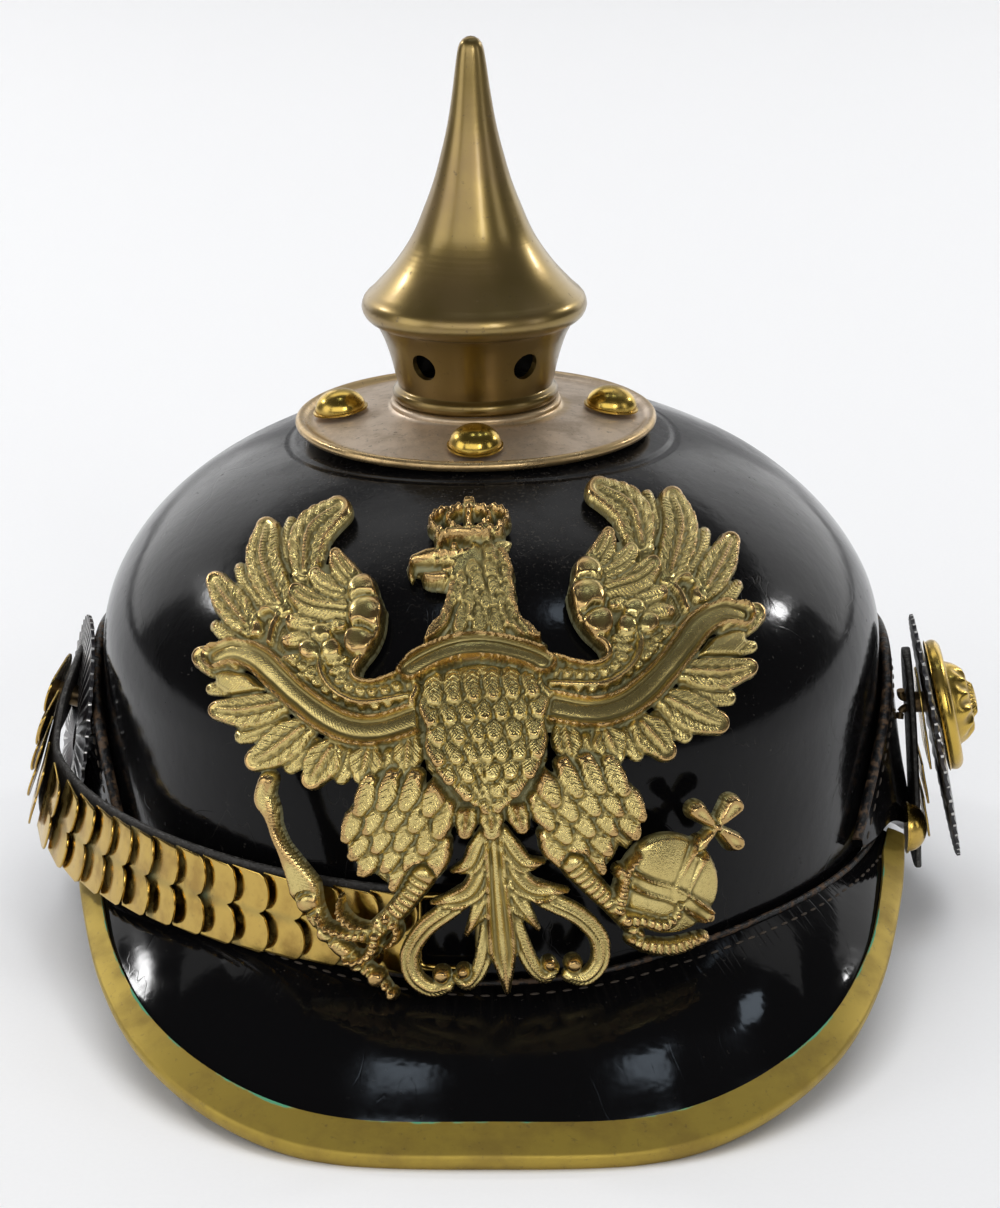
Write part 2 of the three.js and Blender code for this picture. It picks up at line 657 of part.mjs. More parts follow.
const SCEPTRE_ROWS = [
  { out: 44.6, up: -4.6, half: 0.6 },
  { out: 45, up: -7.6, half: 2.3 },
  { out: 43.3, up: -11.4, half: 1.2 },
  { out: 42.6, up: -16.5, half: 1.1 },
  { out: 40.6, up: -21.5, half: 2.4 },
  { out: 39, up: -26, half: 3.7 },
  { out: 38.4, up: -30.4, half: 2.2 },
  { out: 36.6, up: -34.4, half: 1.8 },
  { out: 33.6, up: -39.2, half: 2.2 },
  { out: 28.8, up: -44, half: 1.9 },
  { out: 24.8, up: -47.6, half: 2.2 },
  { out: 23, up: -50.5, half: 0.7 },
];
const ORB = { u: 34.3, w: -31.9, radius: 10.6 };
const CROSS_ROWS = [
  { u: 41, w: -24.8, half: 1 }, { u: 44.6, w: -20.8, half: 1 }, { u: 48.4, w: -16.8, half: 2.1 },
];
const CROSSBAR_ROWS = [
  { u: 41, w: -17.4, half: 2 }, { u: 44.6, w: -20.8, half: 1 }, { u: 48.4, w: -24.2, half: 2 },
];
const SLAB_ROWS = [{ u: 26, w: -42.6, half: 1.6 }, { u: 41.6, w: -45.6, half: 1.6 }];
const TAIL_ROWS = [
  { out: 0, up: -11, half: 5.5 },
  { out: 0, up: -17, half: 5.2 },
  { out: 0, up: -19, half: 2 },
  { out: 0, up: -34, half: 2 },
  { out: 0, up: -48, half: 2.8 },
  { out: 0, up: -51.3, half: 0.6 },
];
const LEAF_ROWS = [
  [
    { out: 0.5, up: -18, half: 1.2 },
    { out: 5.6, up: -21.4, half: 1.7 },
    { out: 9.4, up: -25.4, half: 0.4 },
  ],
  [
    { out: 0.8, up: -23.4, half: 1.2 },
    { out: 8.4, up: -27.4, half: 2 },
    { out: 14, up: -31.6, half: 0.4 },
  ],
  [
    { out: 0.8, up: -33, half: 1.2 },
    { out: 4.8, up: -36, half: 1.5 },
    { out: 7, up: -39.4, half: 0.4 },
  ],
];
const SCROLL_ROWS = [
  { out: 0.8, up: -28.6, half: 1.2 },
  { out: 8, up: -32.6, half: 1.6 },
  { out: 14.6, up: -35.6, half: 1.7 },
  { out: 19.2, up: -40, half: 1.7 },
  { out: 20, up: -44.6, half: 1.7 },
  { out: 17.4, up: -49, half: 1.6 },
  { out: 13.4, up: -49.6, half: 1.5 },
  { out: 12.6, up: -46.4, half: 1.7 },
];
const VOLUTE_ROWS = [
  { out: 1, up: -40, half: 1.2 },
  { out: 5, up: -44, half: 1.5 },
  { out: 8.6, up: -46.6, half: 1.4 },
  { out: 7.8, up: -50, half: 1.3 },
];

const sideRow = (row, side) => new THREE.Vector2(row.u ?? row.out * side, row.w ?? row.up);

function raised(points, level) {
  const shape = new THREE.Shape(points);
  return new THREE.ExtrudeGeometry(shape, { depth: level, bevelEnabled: false });
}

// A stroke of changing width through the rows
function stroke(rows, side, level) {
  const points = rows.map((row) => sideRow(row, side));
  const left = [];
  const right = [];
  points.forEach((point, i) => {
    const before = points[Math.max(i - 1, 0)];
    const after = points[Math.min(i + 1, points.length - 1)];
    const across = after.clone().sub(before).normalize().rotateAround(new THREE.Vector2(), Math.PI / 2);
    left.push(point.clone().addScaledVector(across, rows[i].half));
    right.push(point.clone().addScaledVector(across, -rows[i].half));
  });
  return raised([...left, ...right.reverse()], level);
}

function feather(row, side) {
  const root = new THREE.Vector2(WING.rootOut * side, WING.rootUp);
  const tip = sideRow(row, side);
  const along = tip.clone().sub(root).normalize();
  const across = along.clone().rotateAround(new THREE.Vector2(), Math.PI / 2);
  const outline = [
    { back: 0, wide: 0.3 }, { back: 0.7, wide: 1 }, { back: 2.4, wide: 0.9 },
  ];
  const edge = (sign) => outline.map(({ back, wide }) => tip.clone()
    .addScaledVector(along, -back * row.half).addScaledVector(across, sign * wide * row.half));
  const start = root.clone().lerp(tip, WING.rootShare);
  const foot = (sign) => start.clone().addScaledVector(across, sign * row.half * 0.5);
  return raised([...edge(1), foot(1), foot(-1), ...edge(-1).reverse()], row.level);
}

function disc(u, w, radius, level, sides) {
  const points = Array.from({ length: sides }, (_, i) => {
    const turn = 2 * Math.PI * (i / sides);
    return new THREE.Vector2(u + radius * Math.cos(turn), w + radius * Math.sin(turn));
  });
  return raised(points, level);
}

function plateDrawing() {
  const both = [-1, 1];
  const shapes = [];
  for (const side of both) {
    shapes.push(raised(WING_CORE_ROWS.map((row) => sideRow(row, side)), LEVEL.core));
    for (const row of FEATHER_ROWS) shapes.push(feather(row, side));
    for (const row of SHOULDER_ROWS) shapes.push(disc(row.out * side, row.up, row.half, LEVEL.shoulder, 7));
    shapes.push(stroke(BAND_ROWS, side, LEVEL.band));
    shapes.push(stroke(CLOVER_ROWS, side, LEVEL.clover));
    shapes.push(disc(CLOVER.out * side, CLOVER.up, CLOVER.radius, LEVEL.clover, 6));
    shapes.push(raised(THIGH_ROWS.map((row) => sideRow(row, side)), LEVEL.thigh));
    shapes.push(stroke(SHANK_ROWS, side, LEVEL.shank));
    for (const rows of TOE_ROWS) shapes.push(stroke(rows, side, LEVEL.toe));
    for (const rows of LEAF_ROWS) shapes.push(stroke(rows, side, LEVEL.leaf));
    shapes.push(stroke(SCROLL_ROWS, side, LEVEL.scroll));
    shapes.push(stroke(VOLUTE_ROWS, side, LEVEL.leaf));
  }
  const right = BODY_ROWS.map((row) => sideRow(row, 1));
  const left = BODY_ROWS.slice(1, -1).map((row) => sideRow(row, -1)).reverse();
  shapes.push(raised([...right, ...left], LEVEL.body));
  shapes.push(raised(HEAD_ROWS.map((row) => sideRow(row, 1)), LEVEL.head));
  shapes.push(raised(DIADEM_ROWS.map((row) => sideRow(row, 1)), LEVEL.diadem));
  shapes.push(stroke(SCEPTRE_ROWS, -1, LEVEL.sceptre));
  shapes.push(disc(ORB.u, ORB.w, ORB.radius, LEVEL.orb, 12));
  for (const rows of [CROSS_ROWS, CROSSBAR_ROWS]) shapes.push(stroke(rows, 1, LEVEL.cross));
  shapes.push(stroke(SLAB_ROWS, 1, LEVEL.slab));
  shapes.push(stroke(TAIL_ROWS, 1, LEVEL.tail));
  return join(shapes);
}

// Presses a drawing on to the dome: every point moves along the plane's normal to the wall
function press(geometry) {
  const lean = radians(PLATE.lean);
  const upward = vec(0, Math.sin(lean), Math.cos(lean));
  const inward = vec(0, Math.cos(lean), -Math.sin(lean));
  const turn = radians(PLATE.tilt);
  const place = geometry.getAttribute('position');
  const flat = new THREE.Vector2();
  for (let i = 0; i < place.count; i += 1) {
    flat.set(place.getX(i), place.getY(i)).rotateAround(new THREE.Vector2(), turn);
    const u = flat.x + PLATE.centreU;
    const w = flat.y + PLATE.centreW;
    const rise = THREE.MathUtils.smoothstep(w, PRESS.footUp, PRESS.topUp);
    const near = THREE.MathUtils.lerp(PLATE.nearFoot, PLATE.nearTop, rise);
    const start = upward.clone().multiplyScalar(w).add(vec(u, 0, 0)).addScaledVector(inward, -PRESS.far);
    const foot = meetWall(start, inward, near);
    const out = wallNormal(foot, near);
    foot.addScaledVector(out, place.getZ(i));
    place.setXYZ(i, foot.x, foot.y, foot.z);
  }
  return geometry;
}

// Where a line first meets the wall or the dome, both moved out by the distance near
function meetWall(start, way, near) {
  const axes = vec(CROWN.halfWidth + near, CROWN.halfLength + near, CROWN.dome + near);
  const solve = (from, direction) => {
    const a = direction.dot(direction);
    const b = from.dot(direction);
    const c = from.dot(from) - 1;
    return start.clone().addScaledVector(way, (-b - Math.sqrt(Math.max(b * b - a * c, 0))) / a);
  };
  const centred = start.clone().sub(vec(0, 0, CROWN.domeFoot));
  const onDome = solve(centred.divide(axes), way.clone().divide(axes));
  if (onDome.z >= CROWN.domeFoot) return onDome;
  const level = vec(axes.x, axes.y, 1);
  return solve(start.clone().setZ(0).divide(level), way.clone().setZ(0).divide(level));
}

function wallNormal(point, near) {
  const rise = Math.max(point.z - CROWN.domeFoot, 0);
  return vec(
    point.x / (CROWN.halfWidth + near) ** 2,
    point.y / (CROWN.halfLength + near) ** 2,
    rise / (CROWN.dome + near) ** 2,
  ).normalize();
}

function eaglePlate() {
  const fine = new TessellateModifier(PRESS.edge, PRESS.passes).modify(plateDrawing());
  return press(fine);
}

// Assembly
const helmet = new THREE.Group();
helmet.add(piece('crown', crown(), LEATHER));

const frames = visorFrames();
helmet.add(piece('front_visor', frontVisor(frames), LEATHER));
helmet.add(piece('front_visor_trim', frontVisorTrim(frames), BRASS));
helmet.add(piece('rear_visor', rearVisor(), LEATHER));
for (const [side, sign] of [['left', -1], ['right', 1]]) {
  const head = piece(`trim_stud_${side}`, stud(TRIM_STUD.radius, TRIM_STUD.height), BRASS);
  head.position.set(sign * TRIM_STUD.side, TRIM_STUD.front, TRIM_STUD.level);
  head.rotation.y = sign * Math.PI / 2;
  helmet.add(head);
}

const spikeGroup = new THREE.Group();
spikeGroup.position.x = SPIKE.offset;
spikeGroup.rotation.y = radians(SPIKE.lean);
spikeGroup.add(piece('base_plate', turned([...BASE_ROWS, BASE_ROWS[0]], BASE_SIDES), BRONZE));
spikeGroup.add(piece('spike_neck', spikeNeck(), BRONZE));
spikeGroup.add(piece('spike', turned(SPIKE_ROWS, SPIKE.sides), BRONZE));
['front', 'right', 'back', 'left'].forEach((side, i) => {
  const arm = new THREE.Group();
  arm.rotation.z = i * Math.PI / 2;
  const head = piece(`base_stud_${side}`, stud(BASE_STUD.radius, BASE_STUD.height), BRASS);
  head.position.set(0, -BASE_STUD.ring, BASE_STUD.lift);
  head.rotation.x = radians(BASE_STUD.slope);
  arm.add(head);
  spikeGroup.add(arm);
});
helmet.add(spikeGroup);

helmet.add(piece('eagle_plate', eaglePlate(), BRASS));

const leftWay = leftRoute();
const rightWay = rightRoute();
const leftPost = leftWay.at(END.centre).at;
const rightPost = vec(POST.seat, 0, POST.height);
helmet.add(piece('strap_left', strap(leftWay, leftPost), LEATHER));
helmet.add(piece('strap_right', strap(rightWay, rightPost), LEATHER));
helmet.add(endPlate(leftWay, 'left', leftPost));
helmet.add(...scalesOn(leftWay, 'left', leftWay.length - STRAP.bareLeft));
helmet.add(endPlate(rightWay, 'right', rightPost));
helmet.add(...scalesOn(rightWay, 'right', rightWay.length - STRAP.bareRight));

const frame = piece('strap_buckle', buckle(), BRASS);
const strapEnd = leftWay.at(leftWay.length);
strapEnd.at.addScaledVector(strapEnd.ahead, GAP);
helmet.add(layOn(frame, strapEnd, -BUCKLE.thickness / 2, 0));

const rightCockade = piece('cockade_right', cockade(), PAINT);
rightCockade.position.set(COCKADE_RIGHT.x, 0, COCKADE_RIGHT.height);
rightCockade.rotation.y = radians(90 - COCKADE_RIGHT.lean);
helmet.add(rightCockade);
const leftCockade = piece('cockade_left', cockade(), PAINT);
leftCockade.position.set(COCKADE_LEFT.x, 0, COCKADE_LEFT.height);
leftCockade.rotation.y = radians(COCKADE_LEFT.lean - 90);
helmet.add(leftCockade);

helmet.add(piece('side_post_right', sidePostRight(), BRONZE));
const leftEnd = piece('side_post_left', turned(POST_ROWS, POST.sides), BRASS);
const postSeat = leftWay.at(END.centre);
leftEnd.quaternion.setFromUnitVectors(vec(0, 0, 1), postSeat.out);
leftEnd.position.copy(postSeat.at).addScaledVector(postSeat.out, -POST.reach);
helmet.add(leftEnd);
const rosette = piece('rosette_right', turned(ROSETTE_ROWS, ROSETTE.sides), BRASS);
rosette.position.set(ROSETTE.x, 0, POST.height - ROSETTE.drop);
rosette.rotation.y = radians(90 - ROSETTE.lean);
helmet.add(rosette);

// The origin is on the table, under the middle of the whole helmet
const middle = new THREE.Box3().setFromObject(helmet, true).getCenter(vec());
helmet.position.set(-middle.x, -middle.y, 0);

export default helmet;
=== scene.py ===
"""A spiked leather helmet with a brass eagle and chin scales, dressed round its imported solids."""

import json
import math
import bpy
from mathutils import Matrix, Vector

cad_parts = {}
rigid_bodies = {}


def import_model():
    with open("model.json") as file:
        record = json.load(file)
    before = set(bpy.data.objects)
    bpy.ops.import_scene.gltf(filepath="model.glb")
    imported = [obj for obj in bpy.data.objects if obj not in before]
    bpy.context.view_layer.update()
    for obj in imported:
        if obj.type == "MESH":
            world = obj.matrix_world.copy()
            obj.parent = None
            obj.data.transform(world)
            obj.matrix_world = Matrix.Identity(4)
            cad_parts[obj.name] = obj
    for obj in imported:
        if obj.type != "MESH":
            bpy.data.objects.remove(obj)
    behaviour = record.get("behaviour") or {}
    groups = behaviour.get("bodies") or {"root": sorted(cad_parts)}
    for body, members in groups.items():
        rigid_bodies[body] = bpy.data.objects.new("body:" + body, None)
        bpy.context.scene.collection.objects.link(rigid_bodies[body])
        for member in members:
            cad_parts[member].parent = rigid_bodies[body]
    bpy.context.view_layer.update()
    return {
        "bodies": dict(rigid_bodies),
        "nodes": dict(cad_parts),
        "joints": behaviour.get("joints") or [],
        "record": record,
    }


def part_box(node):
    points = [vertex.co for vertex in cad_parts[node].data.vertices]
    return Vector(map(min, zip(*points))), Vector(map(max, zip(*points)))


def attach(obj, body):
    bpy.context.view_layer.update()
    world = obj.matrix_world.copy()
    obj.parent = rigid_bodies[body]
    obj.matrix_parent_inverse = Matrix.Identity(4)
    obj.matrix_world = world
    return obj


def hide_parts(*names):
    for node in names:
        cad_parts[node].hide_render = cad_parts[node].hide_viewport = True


bl_info = {
    "name": "Spiked Leather Helmet",
    "version": (1, 0, 0),
    "blender": (4, 5, 0),
    "location": "View3D > Sidebar > Helmet",
    "description": "Builds a spiked leather helmet and its brass fittings, piece by piece",
    "category": "Add Mesh",
}

from collections import namedtuple

import bmesh
import bpy
import numpy as np
from mathutils import Matrix, Vector, noise

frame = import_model()
CROWN_LOW, CROWN_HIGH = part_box("crown")

# Shapes are worked out in millimetres round the middle of the crown, and placed in metres.
MM = 0.001
CENTRE = Vector(((CROWN_LOW.x + CROWN_HIGH.x) / 2, (CROWN_LOW.y + CROWN_HIGH.y) / 2, 0.0))
GAP = 0.3

HALF_WIDTH = 87.1
HALF_LENGTH = 103.0
DOME = 52.2
DOME_FOOT = 65.0
CROWN_WALL = 2.2
VENT = 12.0
FOOT_FRONT = 17.0
FOOT_BACK = 45.0

VISOR_THICKNESS = 2.4
VISOR_CLEARANCE = 1.1
VISOR_ARCH = 1.2
VISOR_ARCH_WIDTH = 40.0
TRIM_METAL = 0.8
TRIM_WIDTH = 8.0
TRIM_SHARE = 0.62
TRIM_NARROWING = 2.6
TRIM_NARROW_AT = 55.0
TRIM_NOSE = 1.5
TRIM_SINK = 1.3
GUARD_THICKNESS = 2.4
GUARD_HOLLOW = 3.5
GUARD_HOLLOW_FLARE = 30.0
GUARD_CLEARANCE = 0.8

SPIKE_OFFSET = -2.0
SPIKE_LEAN = -0.7
NECK_WALL = 1.2
NECK_HOLES = 5
NECK_HOLE_RADIUS = 3.0
NECK_HOLE_HEIGHT = 130.6
BASE_STUD = {"ring": 30.0, "radius": 6.1, "height": 4.8, "lift": 117.05, "slope": 8.5}
TRIM_STUD = {"radius": 5.8, "height": 4.7, "side": 93.0, "front": -19.5, "level": 25.0}

STRAP_HALF = 0.95
STRAP_REACH = 9.2
STRAP_RAISE = 0.6
STRAP_STEP = 1.6
SCALE_LIFT = 1.2
SCALE_PITCH = 8.0
SCALE_LENGTH = 11.6
SCALE_REACH = 8.8
SCALE_TILT = 5.2
END_LENGTH = 14.0
END_CENTRE = 13.6
END_LIFT = 2.1
END_TILT = 3.6
END_OVERLAP = 3.4
BARE_LEFT = 4.0
BARE_RIGHT = 10.0
BUCKLE_LENGTH = 15.0
BUCKLE_REACH = 9.0
BUCKLE_BAR = 2.0
BUCKLE_THICKNESS = 1.6

COCKADE = {"radius": 28.0, "hole": 3.2, "rim": 0.7}
COCKADE_LEFT = {"side": -94.4, "height": 39.5, "lean": 9.0, "swing": 8.0}
COCKADE_RIGHT = {"side": 100.6, "height": 40.0, "lean": 11.7, "swing": 0.0}
POST_RADIUS = 2.4
POST_HEIGHT = 48.0
POST_SIDE = 97.4
POST_LENGTH = 6.2
POST_LEGS = 0.9
POST_REACH = 5.0
ROSETTE = {"side": 100.7, "drop": 1.0, "lean": 12.4}

PLATE_LEAN = 20.0
PLATE_TILT = 4.48
PLATE_ACROSS = -0.7
PLATE_UP = 36.3
PLATE_NEAR_TOP = 1.6
PLATE_NEAR_FOOT = 7.8
PRESS_FOOT = 20.0
PRESS_TOP = 50.0
PRESS_FAR = 200.0
PLATE_DROP = 2.2
DROP_FROM = 8.0
DROP_OVER = 14.0

VisorRow = namedtuple("VisorRow", "angle seam x y edge")
VISOR_ROWS = [
    VisorRow(0, 22.3, 0, -145, 0),
    VisorRow(13, 23.2, 31, -142.8, 0),
    VisorRow(24.5, 25, 52, -132.8, 2.2),
    VisorRow(37.5, 26.6, 70, -112.5, 6.4),
    VisorRow(50, 27, 81.4, -86, 11.6),
    VisorRow(65, 26.6, 88.7, -52, 18.3),
    VisorRow(76, 26, 92, -25, 22.4),
]

# The angle is counted from the back.
GuardRow = namedtuple("GuardRow", "angle top foot flare")
GUARD_ROWS = [
    GuardRow(0, 62, -0.8, 39.5),
    GuardRow(22, 62, -0.8, 37),
    GuardRow(43, 61.8, -0.8, 29.5),
    GuardRow(60, 61.8, 1.5, 19),
    GuardRow(74, 62, 8, 9),
    GuardRow(84, 62, 14.5, 7.6),
    GuardRow(92, 58.6, 18.5, 6.2),
    GuardRow(99, 54, 25, 3.4),
    GuardRow(106, 48.5, 30, 1.9),
    GuardRow(112, 40.5, 30.6, 1.1),
    GuardRow(116.5, 32.4, 30.8, 0.3),
]

# The angle is counted from the front towards the left; out is the room to the wall.
StrapRow = namedtuple("StrapRow", "angle out height lean")
LEFT_ROWS = [
    StrapRow(97, 8.5, 50, 15),
    StrapRow(90, 8.8, 50, 15),
    StrapRow(83, 11.4, 46, 13),
    StrapRow(76, 13.8, 39.4, 11),
    StrapRow(69, 12.2, 35.4, 14),
    StrapRow(61, 9.8, 34.2, 14),
    StrapRow(52, 7.8, 34.4, 10),
    StrapRow(42, 6, 34.8, 5),
    StrapRow(32, 4.4, 34.8, 1),
    StrapRow(22, 2.8, 34.6, 0),
    StrapRow(10.5, 2.1, 34.6, 0),
]
RIGHT_WAY = [(93.7, 0, 60.5), (95.2, 0, 44), (96.4, 0, 27), (97.2, 0, 11)]

# Turned outlines: radius, height
SPIKE_OUTLINE = [
    (0, 200.6), (1.5, 200.1), (2.6, 198.6), (3.25, 195.2), (4.2, 188.2), (5.35, 181.2), (6.8, 175),
    (8.55, 168.7), (10.85, 162.5), (13.6, 156.2), (17.8, 149.9), (22.2, 145), (24.1, 143.2), (24.8, 141.6),
    (24.8, 140.6), (24.3, 139.3), (23.2, 138.2), (22.6, 137.9),
]
NECK_OUTLINE = [
    (22.4, 138), (21.6, 137), (20.1, 134), (18.6, 129.4), (17.5, 124.8), (17.1, 123.4), (17.2, 122.9),
    (17.9, 122.5), (18.3, 121.6), (18.2, 120.6), (17.6, 119.9),
]
BASE_OUTLINE = [
    (15.8, 119.7), (18.2, 119.8), (18.9, 119.2), (18.9, 118.4), (19.8, 117.9), (24, 117.2), (30, 116.2),
    (36, 115.2), (37.4, 115.2), (38.1, 115.8), (39, 116.1), (39.8, 115.7), (40.1, 114.9), (39.6, 114.1),
    (38.4, 113.7), (37, 114.2), (26, 115.9), (15.8, 117), (15.8, 119.7),
]
POST_OUTLINE = [
    (0, 9.5), (2, 9.4), (3.4, 9.1), (4.2, 8.6), (4.3, 8.2), (2.4, 8.1), (2.4, 0), (0, 0),
]
ROSETTE_OUTLINE = [
    (0, 9.4), (2, 9.3), (3.4, 8.8), (3.9, 8.2), (4.5, 7.9), (6, 7.6), (7.6, 6.7), (8.9, 5.4), (9.5, 4.2),
    (10, 3.5), (11.2, 3.3), (12.4, 3.7), (13.6, 3.6), (14.7, 2.8), (15, 1.8),
    (14.7, 0.8), (13.8, 0.1), (0, 0),
]
LEG_WAYS = [
    [(92.6, -1.2, 51.2), (93, -0.8, 49.6), (95.2, 0, 48.6)],
    [(92.6, -1.2, 44.4), (93, -0.8, 46.2), (95.2, 0, 47.3)],
]

# The eagle's drawing: across and up from the middle of the plate, wings as out and up
Feather = namedtuple("Feather", "root bend tip half lift rise")
Stroke = namedtuple("Stroke", "path halves")
Knob = namedtuple("Knob", "out up radius rise")
Tuft = namedtuple("Tuft", "across up length half turn")
BreastRow = namedtuple("BreastRow", "up count spread lean")
Petal = namedtuple("Petal", "root tip half")
WING_CORE = [
    (20.6, 33), (26.4, 40), (34, 42), (43, 35), (47, 25), (44, 13), (36, 5), (27, 0.5), (12, 0.5), (12, 12),
    (16.6, 14.4), (22, 13), (24.4, 15.4), (23.6, 18.6), (20, 23), (18.2, 29.6),
]
NARROW_FEATHERS = [
    Feather((36.4, 39.5), (38.5, 46.1), (37.5, 52.4), 2.0, 0.5, 0.9),
    Feather((43.7, 32.7), (47.1, 37.5), (49.5, 43.2), 2.1, 0.5, 0.9),
    Feather((50, 27), (53, 29), (55.6, 30.9), 2.0, 0.5, 0.9),
    Feather((49, 17), (53.6, 16.4), (57.4, 16.2), 2.6, 0.5, 0.8),
    Feather((41.5, 6.8), (46, 5.7), (51.6, 4.4), 2.6, 0.5, 0.8),
    Feather((35, 1.7), (38, -0.5), (41.4, -3.2), 2.5, 0.5, 0.8),
    Feather((27.5, 0), (28.9, -3.2), (30.5, -6.6), 2.4, 0.5, 0.8),
    Feather((19.6, -1), (20.4, -3.4), (20.9, -6.2), 2.3, 0.5, 0.8),
]
LONG_FEATHERS = [
    Feather((34.7, 39), (33.4, 47.6), (25, 54), 4.3, 0.9, 1.6),
    Feather((40, 33), (43.6, 42.5), (42.2, 52.2), 4.1, 0.9, 1.5),
    Feather((46.5, 28.5), (51.2, 34.8), (55, 41.2), 3.7, 0.9, 1.5),
    Feather((51, 22), (55.6, 23), (59.5, 24.6), 3.8, 0.9, 1.3),
    Feather((41, 10.8), (48.4, 10), (56.6, 11), 3.9, 0.9, 1.3),
    Feather((36.5, 5.4), (43.1, 1.4), (49.2, -1.2), 3.9, 0.9, 1.3),
    Feather((31, 1), (34.1, -3), (37, -6.8), 3.8, 0.9, 1.3),
    Feather((23.6, 0), (24.7, -3.6), (25.8, -7.2), 3.6, 0.9, 1.2),
    Feather((15.4, 1.5), (16, -2.4), (16.6, -6.4), 3.1, 0.9, 1.2),
]
COVERTS = [
    Feather((32.2, 16.5), (34.8, 17), (37.6, 17.4), 1.6, 1.5, 0.8),
    Feather((33.3, 19.6), (36.8, 20.6), (40.3, 21.4), 1.7, 1.6, 0.8),
    Feather((30, 23.8), (35.6, 25.2), (40, 24.6), 1.9, 1.7, 0.9),
    Feather((27.6, 27.2), (34.2, 28.4), (39, 28.8), 2.3, 1.8, 1.0),
    Feather((26, 30.2), (32.7, 31.8), (38, 35.4), 3.3, 1.9, 1.3),
    Feather((25, 33.2), (30.2, 35.4), (33.4, 38.8), 2.5, 2.0, 1.1),
    Feather((23.4, 34.4), (26.4, 38.2), (28.6, 42.8), 2.8, 2.1, 1.2),
]
RIBBON = Stroke(
    [(54, 23.2), (50, 24), (45, 21.7), (41.4, 17.6), (37.5, 12.4), (32.6, 7.6), (27, 4.4),
     (20.8, 3.7), (13.4, 5.4)],
    [2.6, 2.9, 3.4, 3.3, 3.2, 3.2, 3.2, 3.2, 3.3],
)
RIBBON_FOLD = [(55.3, 20.4), (54.8, 16.6), (51.8, 13.8), (47.6, 14), (44, 14.6), (47.4, 19), (53, 21.6)]
RIBBON_CURL = Stroke([(46.9, 27.6), (45.3, 31), (42.8, 32.3), (40.7, 30.6), (41.8, 28.2), (42.7, 25)], [0.7])
SHOULDER = Stroke(
    [(24.6, 36.4), (21.6, 35.6), (20.8, 32.8), (19.8, 29.4), (20.2, 25.8), (21.8, 22.4),
     (24, 19.4), (25.4, 16.6),
     (24.4, 14.4), (21.6, 13.6), (18.2, 14.6), (14.4, 16.6)],
    [1.1, 1.3, 1.3, 1.3, 1.3, 1.3, 1.2, 1.1, 1.0, 1.0, 1.0, 1.0],
)
SHOULDER_KNOBS = [Knob(22.8, 33.4, 3.2, 2.0), Knob(22.2, 28.4, 3.8, 2.5), Knob(23.8, 23.1, 3.2, 2.0)]
STEM = Stroke([(31.6, 22.6), (32.2, 18.8), (31, 14.6), (28, 11), (23.2, 9.1), (13.6, 9.9)], [0.9])
TREFOIL = [Knob(31.6, 25.5, 2.4, 1.3), Knob(34.1, 22.6, 2.3, 1.3), Knob(29.8, 22.2, 2.3, 1.3)]
SCALLOPS = [(30, 19.8), (29.2, 16.2), (27.2, 13.4), (24, 11.8), (20.4, 11.5), (14.6, 12.8)]
UNDER_FEATHERS = [(36.4, 19.4), (33.6, 15.2), (31, 12.4), (28, 10.4), (24.6, 8.9), (20.6, 8.4), (13.6, 9.6)]
HEAD = [
    (-6.5, 42.9), (-7, 41.5), (-9.5, 41.2), (-11.6, 40.7), (-13.2, 39.9), (-13.9, 38.3), (-13.7, 36.7),
    (-12.9, 35.2), (-12.3, 36.3), (-12.1, 37.6), (-11.2, 37.4), (-10.9, 35.4), (-10.8, 34.6), (-9.6, 33.7),
    (-7.5, 33.3), (-6, 32.9), (-5.9, 31.2), (-7.7, 28.8), (-6.4, 28.3), (-9.8, 24.9), (-8.9, 24), (-11, 22.5),
    (-14.6, 21.2), (-15, 14), (13, 12), (13.8, 20.1), (10.8, 22.9), (9, 24.4), (9.5, 25.3), (7.4, 29.4),
    (8.5, 30), (7.1, 33.5), (8.4, 34.2), (7.2, 40), (8.3, 42.4), (5.6, 43.4),
]
BEAK = [
    (-5.4, 41.6), (-9.5, 41), (-12.6, 39.6), (-13.5, 38), (-13.4, 36.6), (-12.9, 35.4),
    (-12.2, 37.8), (-10, 38.2),
    (-6.4, 38.4),
]
LOWER_BEAK = [(-10.8, 35.9), (-10.6, 34.7), (-8.6, 34), (-5.4, 34.2), (-4.6, 36), (-7.6, 36)]
MOUTH = Stroke([(-11.4, 37.3), (-8.4, 37.2), (-4.2, 36.9)], [0.8, 0.85, 0.3])
BROW = Stroke([(-7, 41.6), (-4.2, 42.5), (-0.6, 42.6), (3.4, 41.4)], [0.6, 1.0, 0.9, 0.5])
EYE = Knob(-3.7, 40.5, 1.1, 1.6)
EYE_SOCKET = Stroke([(-6.6, 40.5), (-4, 40.7), (-1, 40.4)], [0.6, 1.6, 0.8])
EYELID = Stroke([(-6.6, 39.2), (-4, 38.7), (-1, 39.2)], [0.5])
CHEEKS = [Knob(-1.0, 39.0, 4.4, 1.2), Knob(-2.8, 36.4, 3.0, 0.9)]
